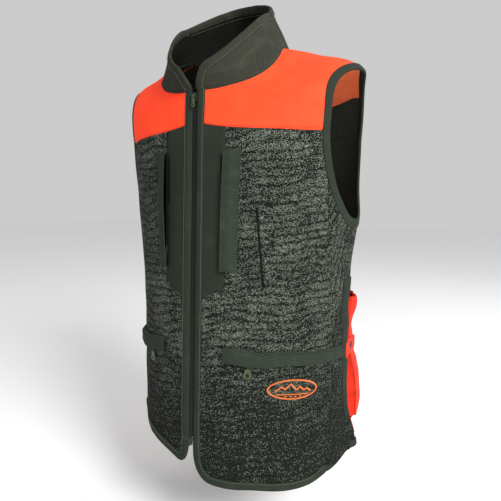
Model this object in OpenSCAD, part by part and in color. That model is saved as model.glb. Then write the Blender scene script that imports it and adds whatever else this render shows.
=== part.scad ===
// Hunting vest: orange yoke, green shell, stand collar, zipped front and a game bag behind.
// +Z is up, the front faces -Y, and +X is the wearer's left. The origin is the centre of the
// neck, level with the back neck seam.

/* [Body] */
// Half width at the waist
waist_half = 178; // [174:1:182]
// Half width at the chest, under the arms
chest_half = 194; // [190:1:197]
// Half width across the shoulder tips
shoulder_half = 199; // [195:1:202]
// Depth of the back behind the side seams, at the waist
waist_back = 82; // [78:1:86]
// Thickness of the shell cloth
cloth = 1.8; // [1.4:0.1:2.0]

/* [Collar] */
// Half width of the neck seam
neck_half = 84; // [82:1:88]
// Half width of the collar's open top
collar_half = 75; // [72:1:82]
// Height of the collar at the back
collar_back_h = 73; // [64:1:80]
// Thickness of the collar
collar_t = 2.6; // [2:0.1:3]

/* [Front zip] */
// Length of the front zip that the slider travels
zip_travel = 470; // [460:1:480]
// Half width of the placket's outer edge
placket_out = 18; // [17:0.5:20]
// Width of the slider
slider_w = 9; // [8:0.5:9]

/* [Pockets] */
// Distance of the chest zips from the centre front
chest_zip_x = 50; // [50:1:52]
// Travel of the chest sliders
chest_travel = 130; // [120:1:134]
// Start and end angle of the lower pocket zips round the body
pocket_from = 24; // [22:1:25]
pocket_to = 72; // [70:1:73]

/* [Game bag] */
// Half width of the bag
bag_half = 174; // [174:0.5:176]
// Depth of the bag's corners behind the side seams
bag_corner = 104; // [100:1:108]
// Height of the bag
bag_h = 228; // [220:1:232]
// Width of the snap tabs
tab_w = 26; // [24:1:28]

/* [Hidden] */

ORANGE = "orangered";
GREEN = "darkslategray";
MELANGE = "dimgray";
METAL = "darkolivegreen";

// ---- Body surface ----
// Rings from the neck down to below the hem, about 100 mm apart down the body. Each one holds its
// half width, the depth of its widest line, its back depth, and its front, side and back heights.
RINGS = [
    [neck_half,      -26, 48,              -88,  -14,    0],
    [138,            -16, 80,             -114,  -29,  -44],
    [shoulder_half,   -8, 104,            -150,  -55, -107],
    [202,              0, 112,            -200, -142, -185],
    [chest_half,       0, 106,            -250, -245, -250],
    [waist_half + 4,   0, waist_back + 10, -350, -350, -350],
    [waist_half,       0, waist_back,     -450, -450, -450],
    [waist_half,       0, waist_back,     -550, -550, -550],
    [waist_half + 3,   0, waist_back + 4, -650, -650, -650],
    [waist_half + 6,   0, waist_back + 8, -750, -750, -750]
];
LAST = len(RINGS) - 1;

// The centre front is one straight line, so that the zip's slider runs straight
FRONT_TOP = [-153, -88];
FRONT_SLOPE = 21 / 502;
FRONT_TILT = atan(FRONT_SLOPE);
function front_y(z) = FRONT_TOP[0] + FRONT_SLOPE * (z - FRONT_TOP[1]);

function spline(a, b, c, d, u) =
    0.5 * (2 * b + (c - a) * u + (2 * a - 5 * b + 4 * c - d) * u * u + (3 * b - a - 3 * c + d) * u * u * u);
function ring(v) =
    let (i = min(max(floor(v), 0), LAST - 1), b = RINGS[i], c = RINGS[i + 1])
    let (a = i > 0 ? RINGS[i - 1] : 2 * b - c, d = i < LAST - 1 ? RINGS[i + 2] : 2 * c - b)
    spline(a, b, c, d, v - i);

// Point of the body: t is the angle from the centre front towards +X, v the place down the rings
function body_at(t, v) =
    let (r = ring(v), c = cos(t), ahead = c > 0)
    let (y = ahead ? front_y(r[3]) : r[2], z = ahead ? r[3] : r[5])
    [r[0] * sin(t), r[1] + (y - r[1]) * abs(c), r[4] + (z - r[4]) * c * c];
function unit(p) = p / norm(p);
EPS = 0.02;
// The same point moved out of the body by d
function skin(t, v, d) =
    let (dt = body_at(t + EPS * 10, v) - body_at(t - EPS * 10, v))
    let (dv = body_at(t, v + EPS) - body_at(t, max(v - EPS, 0)))
    body_at(t, v) + d * unit(cross(dv, dt));
// Angle at which ring v is x from the centre
function tx(x, v) = asin(x / ring(v)[0]);

// ---- Seams and edges, as places on the body surface ----
FRONT_EDGE = 4;
PANEL_SEAM = 171.5;
SEAM_GAP = 0.4;
SIDE_T = 87;
BACK_T = 89;
SHOULDER_T = 80;
SHOULDER_BACK_T = 82.5;

NECK_GAP = 0.02;
SEAM_V = 0.012;
function neck_v(t) = cos(t) > 0 ? 0.75 * pow(sin(2 * t), 2) : 0;
function yoke_v(t) = 1.52 + 1.36 * sin(min(1.45 * t, 90));
function yoke_at(x, v = 2.3, k = 5) = k == 0 ? v : yoke_at(x, yoke_v(tx(x, v)), k - 1);
function chest_end(x) = 5.33 - 0.2 * max(x - 15, 0) / 35;
function back_yoke_v(t) = 2.84 - 0.44 * pow(cos(t), 2);

// The armhole is boxed at the top and a half ellipse below
ARM_T = 88;
ARM_HALF = 29.5;
ARM_V = 2.8;
ARM_UP = 0.83;
ARM_DOWN = 1.45;
// The binding's width round it, in degrees and up and down the rings
ARM_W = [3.7, 0.16, 0.13];
function arm_u(t) = min(abs(t - ARM_T) / ARM_HALF, 1);
function arm_top(t) = ARM_V - ARM_UP * pow(1 - pow(arm_u(t), 4), 0.25);
function arm_bottom(t) = ARM_V + ARM_DOWN * sqrt(1 - pow(arm_u(t), 2));
// Place on the armhole's edge at angle p: 90 is the top, 0 the front, 180 the back; w widens the edge
function arm_edge(p, w) =
    let (above = sin(p) > 0, side = sign(cos(p)), c = abs(cos(p)))
    [ARM_T - side * (ARM_HALF + ARM_W[0] * w) * (above ? sqrt(c) : c),
     ARM_V - (above ? (ARM_UP + ARM_W[1] * w) * sqrt(sin(p)) : (ARM_DOWN + ARM_W[2] * w) * sin(p))];

// The hem rises at the sides, drops at the back, and is rounded off at the split below the zip
HEM = 8.05;
SIDE_RISE = 0.2;
BACK_DROP = 0.1;
SPLIT_RISE = 0.45;
SPLIT_X = 30;
function hem_v(t) = HEM - SIDE_RISE * pow(sin(t), 6) + (cos(t) < 0 ? BACK_DROP * pow(cos(t), 2) : 0);
function front_hem(x, v = HEM) = hem_v(tx(x, v)) - SPLIT_RISE * pow(max(1 - x / SPLIT_X, 0), 3);

// ---- Closed sheets ----
function steps(from, to, n) = [for (i = [0 : n]) from + (to - from) * i / n];

// Closed solid between two grids of n by m points, the outer one first
module slab(outer, inner) {
    n = len(outer);
    m = len(outer[0]);
    o = function (i, j) i * m + j;
    k = function (i, j) n * m + i * m + j;
    faces = concat(
        [for (i = [0 : n - 2]) for (j = [0 : m - 2]) each [
            [o(i, j), o(i + 1, j), o(i, j + 1)], [o(i + 1, j), o(i + 1, j + 1), o(i, j + 1)],
            [k(i, j), k(i, j + 1), k(i + 1, j)], [k(i + 1, j), k(i, j + 1), k(i + 1, j + 1)]]],
        [for (i = [0 : n - 2]) each [
            [o(i, 0), k(i, 0), k(i + 1, 0)], [o(i, 0), k(i + 1, 0), o(i + 1, 0)],
            [o(i, m - 1), k(i + 1, m - 1), k(i, m - 1)], [o(i, m - 1), o(i + 1, m - 1), k(i + 1, m - 1)]]],
        [for (j = [0 : m - 2]) each [
            [k(0, j), o(0, j), o(0, j + 1)], [k(0, j), o(0, j + 1), k(0, j + 1)],
            [k(n - 1, j), o(n - 1, j + 1), o(n - 1, j)],
            [k(n - 1, j), k(n - 1, j + 1), o(n - 1, j + 1)]]]);
    polyhedron(points = concat([for (r = outer) each r], [for (r = inner) each r]), faces = faces);
}
// Cloth between two heights above the body; f turns a and b into [t, v] or [t, v, lift]
module sheet(A, B, f, low, high) {
    slab([for (a = A) [for (b = B) let (q = f(a, b)) skin(q[0], q[1], high + (len(q) > 2 ? q[2] : 0))]],
         [for (a = A) [for (b = B) let (q = f(a, b)) skin(q[0], q[1], low + (len(q) > 2 ? q[2] : 0))]]);
}
function mix(a, b, u) = a + (b - a) * u;

// Heights of the layers above the body surface
SHELL = [0, cloth];
TRIM = [2.6, 3.8];
BINDING = [3.0, 4.2];
INSIDE = [-2.6, -1.6];

// ---- Shell panels ----
module front_yoke() color(ORANGE)
    sheet([0, 6, 12, 18, 24, 30, 36, 42, 48, 54, 58.3, 58.9, 60, 62, 66, 70, 75, SHOULDER_T], steps(0, 1, 7),
        function (a, b)
            let (t0 = max(a, 1.3), end = t0 < 58.5 ? yoke_v(t0) : arm_top(t0))
            let (v = mix(neck_v(t0) + NECK_GAP, end, b))
            [a == 0 ? tx(FRONT_EDGE, v) : a, v],
        SHELL[0], SHELL[1]);
CHEST_X = 50;
module chest_panel() color(GREEN)
    sheet([FRONT_EDGE, 12, 20, 30, 40, 49.6], steps(0, 1, 13),
        function (x, b) let (v = mix(yoke_at(x) + SEAM_V, chest_end(x), b)) [tx(x, v), v],
        SHELL[0], SHELL[1]);
module front_panel() color(MELANGE)
    sheet([FRONT_EDGE, 7, 11, 18, 28, 39, 49.6, 50.4, 62, 76, 92, 108, 122, 136, 148, 158, 165, PANEL_SEAM],
        steps(0, 1, 19),
        function (x, b)
            let (top = x < CHEST_X ? chest_end(x) + SEAM_V / 2 : yoke_at(x) + SEAM_V)
            let (v = mix(top, front_hem(x), b))
            [tx(x, v), v],
        SHELL[0], SHELL[1]);
function side_t(a, v) = mix(tx(PANEL_SEAM + SEAM_GAP, v), SIDE_T, a);
function side_top(a, v = 3.9, k = 5) = k == 0 ? v : side_top(a, arm_bottom(side_t(a, v)), k - 1);
module side_panel() color(MELANGE)
    sheet(steps(0, 1, 5), steps(0, 1, 12),
        function (a, b) let (v = mix(side_top(a), hem_v(side_t(a, 8)), b)) [side_t(a, v), v],
        SHELL[0], SHELL[1]);
BACK_COLUMNS = [BACK_T, 93, 97, 102, 107, 111, 114, 116.2, 117.4,
                121, 127, 133, 139, 146, 153, 160, 167, 174];
ARM_END = ARM_T + ARM_HALF - 0.05;
function round_back(list) = concat(list, [180], [for (i = [len(list) - 1 : -1 : 0]) 360 - list[i]]);
function near_side(t) = t > 180 ? 360 - t : t;
module back_panel() color(MELANGE)
    sheet(round_back(BACK_COLUMNS), steps(0, 1, 14),
        function (t, b)
            let (s = near_side(t), top = s < ARM_END ? arm_bottom(s) : back_yoke_v(s) + SEAM_V)
            [t, mix(top, hem_v(t), b)],
        SHELL[0], SHELL[1]);
module back_yoke() color(ORANGE)
    sheet(round_back([SHOULDER_BACK_T, 87, 92, 98, 104, 109, 113, 115.6, 117, 117.6, 122, 128, 135, 143, 152,
                      161, 170]),
        steps(0, 1, 8),
        function (t, b)
            let (s = near_side(t), end = s < ARM_END ? arm_top(s) : back_yoke_v(s))
            [t, mix(neck_v(s) + NECK_GAP, end, b)],
        SHELL[0], SHELL[1]);

// ---- Collar ----
COLLAR_FRONT = -169;
COLLAR_BACK = -6;
COLLAR_MID = -74;
COLLAR_Z = [-60, 32, collar_back_h];
// How full the top curve is in front and behind
COLLAR_CURVE = [1.3, 1.2];
SPLAY = -6;
function collar_top(t) =
    let (s = t < 90 ? t + SPLAY * (1 - t / 90) : t, c = cos(s), ahead = c > 0)
    let (y = ahead ? COLLAR_FRONT : COLLAR_BACK, z = ahead ? COLLAR_Z[0] : COLLAR_Z[2])
    [collar_half * sin(s), COLLAR_MID + (y - COLLAR_MID) * abs(c),
     COLLAR_Z[1] + (z - COLLAR_Z[1]) * pow(abs(c), COLLAR_CURVE[ahead ? 0 : 1])];
function collar_mid(t, h) = mix(body_at(t, neck_v(t)), collar_top(t), h);
function collar_at(t, h, d) =
    let (dt = collar_mid(t + 0.2, h) - collar_mid(t - 0.2, h),
         dh = collar_mid(t, h + EPS) - collar_mid(t, h - EPS))
    collar_mid(t, h) + d * unit(cross(dt, dh));
// The collar's front corner is rounded off
CORNER_T = 24;
CORNER_DROP = 1.15;
function collar_h(t) = 1 - CORNER_DROP * pow(max(1 - t / CORNER_T, 0), 2);
COLLAR_GAP = 0.035;
module collar_strip(T) color(GREEN) {
    H = steps(1, COLLAR_GAP, 4);
    slab([for (t = T) [for (h = H) collar_turn(t, h, collar_t)]],
         [for (t = T) [for (h = H) collar_turn(t, h, 0)]]);
}
module collar_front() collar_strip([2.6, 5, 9, 14, 20, 27, 35, 44, 53, 62, 71, SHOULDER_T]);
module collar_back() collar_strip(round_back([SHOULDER_BACK_T, 92, 102, 113, 125, 138, 152, 166]));
// Collar point on either side of the centre back
function collar_turn(t, h, d) =
    let (s = near_side(t), p = collar_at(s, h * collar_h(s), d))
    t > 180 ? [-p[0], p[1], p[2]] : (t == 180 ? [0, p[1], p[2]] : p);

// ---- Edges ----
module arm_strip(P) color(GREEN)
    sheet(P, [0, 0.5, 1], function (p, w) arm_edge(p, w), BINDING[0], BINDING[1]);
module armhole_binding()
    arm_strip([-86, -75, -63, -51, -39, -27, -15, -6, 0.5, 4, 12, 23, 36, 50, 64, 76, 82, 85.6]);
module armhole_binding_back()
    arm_strip([88.5, 91, 94, 99, 106, 117, 131, 145, 158, 168,
               176, 179.5, 186, 195, 207, 219, 231, 243, 255, 266]);
module armhole_bindings_back() {
    armhole_binding_back();
    mirror([1, 0, 0]) armhole_binding_back();
}
HEM_W = 0.1;
module hem_binding() color(GREEN)
    sheet([18.6, 26, 34, 48, 62, 78, 94, 110, 125, 139, 151, 160, 167, 171, 175], [0, 1],
        function (x, b) let (v = front_hem(min(x, 171)) - HEM_W * (1 - b)) [tx(x, v), v],
        TRIM[0], TRIM[1]);
module hem_binding_back() color(GREEN)
    sheet(round_back([96.5, 102, 108, 114, 120, 127, 134, 141, 149, 157, 165, 173]), [0, 1],
        function (t, b) [t, hem_v(t) - HEM_W * (1 - b)],
        TRIM[0], TRIM[1]);
PLACKET_IN = 5.2;
module placket() color(GREEN)
    sheet([PLACKET_IN, 11, placket_out], steps(0, 1, 22),
        function (x, b) let (v = mix(0.06, front_hem(x) - 0.01, b)) [tx(x, v), v],
        TRIM[0], TRIM[1]);
module side_tape() color(GREEN)
    sheet([89.5, 92.5, 95.5], steps(0, 1, 10),
        function (t, b) [t, mix(4.42, hem_v(t), b)],
        TRIM[0], TRIM[1]);
module side_tapes() {
    side_tape();
    mirror([1, 0, 0]) side_tape();
}

// ---- Hanger loop ----
LOOP_R = 18;
LOOP_W = 6;
LOOP_AT = [0, 46.5, -3];
module hanger_loop() color(GREEN)
    translate(LOOP_AT) rotate([90, 0, 0]) linear_extrude(LOOP_W)
        difference() {
            circle(LOOP_R + 1.5, $fn = 64);
            circle(LOOP_R, $fn = 64);
            translate([-2 * LOOP_R, 0]) square([4 * LOOP_R, 2 * LOOP_R]);
        }

// ---- Front zip ----
ZIP_Z = -92;
// Places its children at height z on the centre front, with -Y straight out of the vest
module at_front(z) translate([0, front_y(z), z]) rotate([-FRONT_TILT, 0, 0]) children();
TEETH = [0.6, 3.0];
TAPE = [2.4, 14];
// The chain runs on past the slider at both ends of its travel
CHAIN_L = zip_travel + 30;
module zip_chain() {
    color(GREEN) at_front(ZIP_Z) translate([TAPE[0], 0.4, -CHAIN_L]) cube([0.6, 0.8, CHAIN_L]);
    color(GREEN)
        sheet([TAPE[0] + 1, TAPE[1]], steps(0, 1, 10),
            function (x, b) let (v = mix(0.06, 7.4, b)) [tx(x, v), v],
            -1.4, -0.6);
    color(METAL) at_front(ZIP_Z)
        translate([TEETH[0], -1.2, -CHAIN_L]) cube([TEETH[1] - TEETH[0], 1.5, CHAIN_L]);
}
module zip_pin() color(METAL) at_front(ZIP_Z) translate([TEETH[0], -1.2, -CHAIN_L - 12]) cube([2, 1.5, 11.6]);
module zip_box() color(METAL) at_front(ZIP_Z) translate([-3.7, -1.6, -CHAIN_L - 14]) cube([3.5, 2.6, 13.6]);

SLIDER_L = 13;
PLATE = 1.2;
SLIDER_FRONT = -2.2;
SLIDER_BACK = 2.0;
module main_slider() color(METAL) at_front(ZIP_Z) {
    for (y = [SLIDER_FRONT - PLATE, SLIDER_BACK])
        translate([-slider_w / 2, y, -SLIDER_L]) cube([slider_w, PLATE, SLIDER_L]);
    translate([-0.3, SLIDER_FRONT - 0.1, -SLIDER_L]) cube([0.6, SLIDER_BACK - SLIDER_FRONT + 0.2, SLIDER_L]);
    bail();
}
PIVOT_Y = -5;
PIVOT_Z = -4;
PIN_R = 0.7;
// Two ears and the pin that the puller hangs on
module bail() {
    for (s = [-1, 1])
        translate([s > 0 ? 1.6 : -2.6, PIVOT_Y - 1.1, PIVOT_Z - 1.2]) cube([1, 2.9, 2.4]);
    translate([-2, PIVOT_Y, PIVOT_Z]) rotate([0, 90, 0]) cylinder(r = PIN_R, h = 4, $fn = 32);
}
// Puller that hangs from its pin: a hub, then a plate that widens from neck to foot, with an eye in its foot
module puller(length, neck, foot, hub, thick, pin, eye) {
    centre = foot / 2 - length;
    difference() {
        union() {
            translate([-hub / 2, -thick / 2, -4]) cube([hub, thick, 5]);
            translate([0, thick / 2, 0]) rotate([90, 0, 0]) linear_extrude(thick)
                polygon([[-neck / 2, -2.6], [neck / 2, -2.6], [foot / 2, centre], [-foot / 2, centre]]);
            translate([0, thick / 2, centre]) rotate([90, 0, 0]) cylinder(d = foot, h = thick, $fn = 64);
        }
        translate([-4, 0, 0]) rotate([0, 90, 0]) cylinder(r = pin + 0.15, h = 8, $fn = 32);
        translate([0, thick, centre]) rotate([90, 0, 0]) cylinder(r = eye, h = 2 * thick, $fn = 48);
    }
}
PULL_L = 16;
module main_puller() color(METAL) at_front(ZIP_Z) translate([0, PIVOT_Y, PIVOT_Z])
    puller(PULL_L, 3.6, 5.6, 2.6, 1.9, PIN_R, 1.3);

// ---- Chest pockets ----
CHEST_V = [2.62, 4.86];
CHEST_TOP = body_at(tx(chest_zip_x, CHEST_V[0]), CHEST_V[0]);
CHEST_END = body_at(tx(chest_zip_x, CHEST_V[1]), CHEST_V[1]);
CHEST_L = norm(CHEST_END - CHEST_TOP);
CHEST_TILT = atan((CHEST_TOP[1] - CHEST_END[1]) / (CHEST_TOP[2] - CHEST_END[2]));
CHEST_TURN = 14;
// Places its children on the chest zip's line, z below its top, with -Y straight out of the cloth
module at_chest(z)
    translate(CHEST_TOP) rotate([-CHEST_TILT, 0, 0]) translate([0, 0, z]) rotate([0, 0, CHEST_TURN])
        children();
module chest_zip() {
    color(GREEN) at_chest(0) translate([-7, -2.7, -CHEST_L]) cube([14, 0.5, CHEST_L]);
    color(METAL) at_chest(0) translate([-1.7, -3.9, -CHEST_L]) cube([3.4, 1.2, CHEST_L]);
}
module chest_slider_at(z) color(METAL) at_chest(z) {
    translate([-3, -5.2, -9]) cube([6, 1, 9]);
    for (s = [-3, 2.1]) translate([s, -4.3, -9]) cube([0.9, 1.3, 9]);
    translate([-1.6, -6, -26]) cube([3.2, 0.8, 22]);
}
CHEST_REST = -4;
module chest_slider_l() chest_slider_at(CHEST_REST);
module chest_slider_r() mirror([1, 0, 0]) chest_slider_at(CHEST_REST - chest_travel);
module chest_flap() color(GREEN)
    sheet([44, 49, 54, 59, 64, 70], steps(0, 1, 12),
        function (x, b) let (v = mix(2.58, 4.92, b)) [tx(x, v), v, x < 60 ? 4.6 : 4.6 * (70 - x) / 10],
        2.5, 3.7);

// ---- Napoleon pocket, left only ----
module radio_pocket_welt() color(GREEN)
    sheet([-3.5, 3.5], steps(0, 1, 8),
        function (w, b) let (v = mix(4.03, 5.17, b)) [tx(mix(91, 100, b) + w, v), v],
        TRIM[0] - 0.2, TRIM[1] - 0.4);

// ---- Lower pockets: the zip is an arc about one line, tipped so that it drops towards the side ----
ARC = [8.1, 3.6, -456];
ARC_R = 171.4;
ARC_TIP = 6;
module at_arc(angle) translate(ARC) rotate([0, ARC_TIP, 0]) rotate([0, 0, -90 + angle]) children();
module arc_band(low, high, z0, z1) at_arc(pocket_from)
    rotate_extrude(angle = pocket_to - pocket_from, $fn = 360)
        translate([ARC_R + low, z0]) square([high - low, z1 - z0]);
module pocket_zip() {
    color(GREEN) arc_band(2.4, 2.9, -5, 5);
    color(METAL) arc_band(2.9, 4.1, -1.7, 1.7);
}
POCKET_REST = 26.5;
BAIL_Z = -12;
BAIL_PIN = 0.5;
module pocket_slider() color(METAL) at_arc(POCKET_REST) translate([ARC_R, 0, 0]) {
    translate([4.5, -5, -3]) cube([1, 10, 6]);
    for (z = [-3, 2.1]) translate([3.3, -5, z]) cube([1.3, 10, 0.9]);
    translate([5.4, -2.05, BAIL_Z + 3]) cube([1, 4.1, -BAIL_Z - 4]);
    for (s = [-2.05, 1.25]) translate([5.4, s, BAIL_Z - 1.1]) cube([1.2, 0.8, 4.2]);
    translate([6, -1.5, BAIL_Z]) rotate([-90, 0, 0]) cylinder(r = BAIL_PIN, h = 3, $fn = 32);
}
module pocket_puller() color(METAL) at_arc(POCKET_REST) translate([ARC_R + 6, 0, BAIL_Z]) rotate([0, 0, 90])
    puller(18.5, 8, 12, 1.8, 1.8, BAIL_PIN, 2.8);
FLAP_LIFT = 5.3;
module pocket_flap() color(GREEN)
    sheet([17, 22, 28, 34, 40, 46, 52, 58, 64, 70, 76, 81, 86], [0, 0.3, 1],
        function (t, b) [t, mix(5.98, 6.21, b) + 0.12 * sin(min(1.5 * (t - 17), 90)), b == 0 ? 0 : FLAP_LIFT],
        2.6, 3.8);
module pocket_bag() color(GREEN)
    sheet([20, 28, 36, 44, 52, 60, 68], steps(0, 1, 6),
        function (t, b) [t, mix(6.0, 7.7, b)],
        INSIDE[0], INSIDE[1]);

// ---- Emblem ----
module emblem() color(ORANGE)
    sheet([-1, -0.94, -0.8, -0.55, -0.25, 0.25, 0.55, 0.8, 0.94, 1], [-1, 0, 1],
        function (u, w) [50.2 + 13.6 * u, 6.66 + 0.155 * w * max(sqrt(1 - u * u), 0.08)],
        2.3, 3.1);

// ---- Game bag ----
BAG_FLOOR = -628;
BAG_CENTRE = 124;
function bag_y(x) = mix(BAG_CENTRE, bag_corner, pow(abs(x) / bag_half, 2.4));
module bag_lining() color(ORANGE)
    sheet([for (t = [106 : 8.222 : 255]) t], steps(0, 1, 6),
        function (t, b) [t, mix(5.4, 7.74, b)],
        2.4, 3.2);
module bag_side_leaf() color(ORANGE)
    translate([171.2, 32, BAG_FLOOR + 4]) cube([1.2, 44, bag_h - 8]);
module bag_side_leaves() {
    bag_side_leaf();
    mirror([1, 0, 0]) bag_side_leaf();
}
BAG_X = [-1, -0.85, -0.65, -0.4, -0.14, 0.14, 0.4, 0.65, 0.85, 1];
module bag_rear_panel() color(ORANGE)
    slab([for (u = BAG_X) [for (b = [1, 0])
             [-u * bag_half, bag_y(u * bag_half) + 1.6, BAG_FLOOR + b * bag_h]]],
         [for (u = BAG_X) [for (b = [1, 0]) [-u * bag_half, bag_y(u * bag_half), BAG_FLOOR + b * bag_h]]]);
// Inner edge of the bag's floor, clear of the vest's back
function floor_y(x) = 6 + 92 * sqrt(1 - pow(x / 190, 2));
module bag_bottom() color(ORANGE)
    slab([for (u = BAG_X) [for (y = [0, 1]) floor_at(-u * (bag_half - 4.5), y, BAG_FLOOR)]],
         [for (u = BAG_X) [for (y = [0, 1]) floor_at(-u * (bag_half - 4.5), y, BAG_FLOOR + 1.6)]]);
function floor_at(x, y, z) = [x, y == 0 ? bag_y(x) - 0.3 : floor_y(x), z];
GUSSET_FROM = 31;
module bag_gusset() color(ORANGE)
    translate([bag_half, GUSSET_FROM, BAG_FLOOR]) cube([1.2, bag_corner - GUSSET_FROM + 1, bag_h]);
module bag_gussets() {
    bag_gusset();
    mirror([1, 0, 0]) bag_gusset();
}
module bag_mouth_binding() color(GREEN)
    slab([for (u = BAG_X) [for (b = [1, 0]) mouth_at(u, b, 3.2)]],
         [for (u = BAG_X) [for (b = [1, 0]) mouth_at(u, b, 1.9)]]);
function mouth_at(u, b, d) = [-u * bag_half, bag_y(u * bag_half) + d, BAG_FLOOR + bag_h - 12 * (1 - b)];

// ---- Snap tabs ----
SNAP_Y = 35;
SNAP_Z = -482;
TAB_X = 177.4;
TAB_FROM = 17;
TAB_TO = 52;
module bag_stud() color(METAL) translate([bag_half + 1.2, SNAP_Y, SNAP_Z]) rotate([0, 90, 0]) {
    cylinder(r = 5, h = 0.7, $fn = 48);
    cylinder(r = 1.8, h = 1.1, $fn = 48);
}
module bag_studs() {
    bag_stud();
    mirror([1, 0, 0]) bag_stud();
}
module snap_tab() color(ORANGE) difference() {
    translate([TAB_X, TAB_FROM, SNAP_Z - tab_w / 2]) cube([1.2, TAB_TO - TAB_FROM, tab_w]);
    translate([TAB_X - 1, SNAP_Y, SNAP_Z]) rotate([0, 90, 0]) cylinder(r = 2, h = 4, $fn = 48);
}
module snap_cap() color(METAL) translate([TAB_X, SNAP_Y, SNAP_Z]) rotate([0, 90, 0]) {
    translate([0, 0, -0.5]) cylinder(r = 1.9, h = 2.4, $fn = 48);
    translate([0, 0, 1.2]) cylinder(r = 6.4, h = 1.2, $fn = 64);
}

// ---- Right hand, mirrored ----
module flip() mirror([1, 0, 0]) children();

back_panel();
back_yoke();
collar_back();
armhole_bindings_back();
hem_binding_back();
side_tapes();
hanger_loop();
bag_lining();
bag_side_leaves();
bag_rear_panel();
bag_bottom();
bag_gussets();
bag_mouth_binding();
bag_studs();
snap_tab();  // snap_tab_l
snap_cap();  // snap_cap_l
flip() snap_tab();  // snap_tab_r
flip() snap_cap();  // snap_cap_r
front_yoke();  // front_yoke_l
front_panel();  // front_panel_l
side_panel();  // side_panel_l
chest_panel();  // chest_panel_l
collar_front();  // collar_front_l
placket();  // placket_l
armhole_binding();  // armhole_binding_l
hem_binding();  // hem_binding_l
zip_chain();  // zip_chain_l
zip_pin();
chest_flap();  // chest_flap_l
chest_zip();  // chest_zip_l
pocket_flap();  // pocket_flap_l
pocket_zip();  // pocket_zip_l
pocket_bag();  // pocket_bag_l
radio_pocket_welt();
emblem();
flip() front_yoke();  // front_yoke_r
flip() front_panel();  // front_panel_r
flip() side_panel();  // side_panel_r
flip() chest_panel();  // chest_panel_r
flip() collar_front();  // collar_front_r
flip() placket();  // placket_r
flip() armhole_binding();  // armhole_binding_r
flip() hem_binding();  // hem_binding_r
flip() zip_chain();  // zip_chain_r
zip_box();
flip() chest_flap();  // chest_flap_r
flip() chest_zip();  // chest_zip_r
flip() pocket_flap();  // pocket_flap_r
flip() pocket_zip();  // pocket_zip_r
flip() pocket_bag();  // pocket_bag_r
main_slider();
main_puller();
chest_slider_l();
chest_slider_r();
pocket_slider();  // pocket_slider_l
flip() pocket_slider();  // pocket_slider_r
pocket_puller();  // pocket_puller_l
flip() pocket_puller();  // pocket_puller_r
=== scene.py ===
"""Looks of the hunting vest: cloth panels, bindings, stitching, zips, pockets and the game bag."""

import math

import bmesh
import bpy
import numpy as np
from mathutils import Matrix, Vector


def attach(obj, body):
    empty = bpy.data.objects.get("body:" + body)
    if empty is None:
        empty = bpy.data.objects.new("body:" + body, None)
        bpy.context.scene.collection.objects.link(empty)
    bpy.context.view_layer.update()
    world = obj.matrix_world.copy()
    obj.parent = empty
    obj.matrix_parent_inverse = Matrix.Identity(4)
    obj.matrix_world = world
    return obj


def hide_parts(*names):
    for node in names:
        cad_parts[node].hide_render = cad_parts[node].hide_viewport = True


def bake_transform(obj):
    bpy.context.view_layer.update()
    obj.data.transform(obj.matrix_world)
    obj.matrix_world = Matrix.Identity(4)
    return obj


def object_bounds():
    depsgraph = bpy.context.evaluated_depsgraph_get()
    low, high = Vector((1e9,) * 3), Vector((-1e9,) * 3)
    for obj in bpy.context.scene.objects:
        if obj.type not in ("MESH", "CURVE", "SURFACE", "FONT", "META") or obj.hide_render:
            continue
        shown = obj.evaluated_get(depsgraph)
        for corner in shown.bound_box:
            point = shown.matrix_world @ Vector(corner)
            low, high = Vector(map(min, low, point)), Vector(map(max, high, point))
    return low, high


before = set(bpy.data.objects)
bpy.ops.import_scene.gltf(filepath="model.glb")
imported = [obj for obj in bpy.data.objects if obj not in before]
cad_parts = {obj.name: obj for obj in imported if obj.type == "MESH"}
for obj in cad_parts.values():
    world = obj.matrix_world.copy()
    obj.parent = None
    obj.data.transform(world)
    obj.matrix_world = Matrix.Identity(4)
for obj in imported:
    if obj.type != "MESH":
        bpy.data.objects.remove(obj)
CAD_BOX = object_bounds()
MM = 0.001

# ---- Body surface, as in the CAD: t is degrees from the centre front, v the place down the rings ----
# Half width, depth of the widest line, back depth, and the front, side and back heights of each ring
RINGS = np.array([
    [84, -26, 48, -88, -14, 0],
    [138, -16, 80, -114, -29, -44],
    [199, -8, 104, -150, -55, -107],
    [202, 0, 112, -200, -142, -185],
    [194, 0, 106, -250, -245, -250],
    [182, 0, 92, -350, -350, -350],
    [178, 0, 82, -450, -450, -450],
    [178, 0, 82, -550, -550, -550],
    [181, 0, 86, -650, -650, -650],
    [184, 0, 90, -750, -750, -750],
], float)
LAST = len(RINGS) - 1
FRONT_TOP = (-153.0, -88.0)
FRONT_SLOPE = 21 / 502


def front_y(z):
    """Depth of the centre front at height z."""
    return FRONT_TOP[0] + FRONT_SLOPE * (z - FRONT_TOP[1])


def spline(a, b, c, d, u):
    """Catmull-Rom curve from b to c as u goes from 0 to 1."""
    return 0.5 * (2 * b + (c - a) * u + (2 * a - 5 * b + 4 * c - d) * u**2 + (3 * b - a - 3 * c + d) * u**3)


def ring(v):
    """The six measures of the body's ring at place v."""
    v = np.clip(np.asarray(v, float), 0, LAST - 1e-9)
    i = np.floor(v).astype(int)
    b, c = RINGS[i], RINGS[i + 1]
    a = np.where((i == 0)[..., None], 2 * b - c, RINGS[np.maximum(i - 1, 0)])
    d = np.where((i == LAST - 1)[..., None], 2 * c - b, RINGS[np.minimum(i + 2, LAST)])
    return spline(a, b, c, d, (v - i)[..., None])


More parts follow.
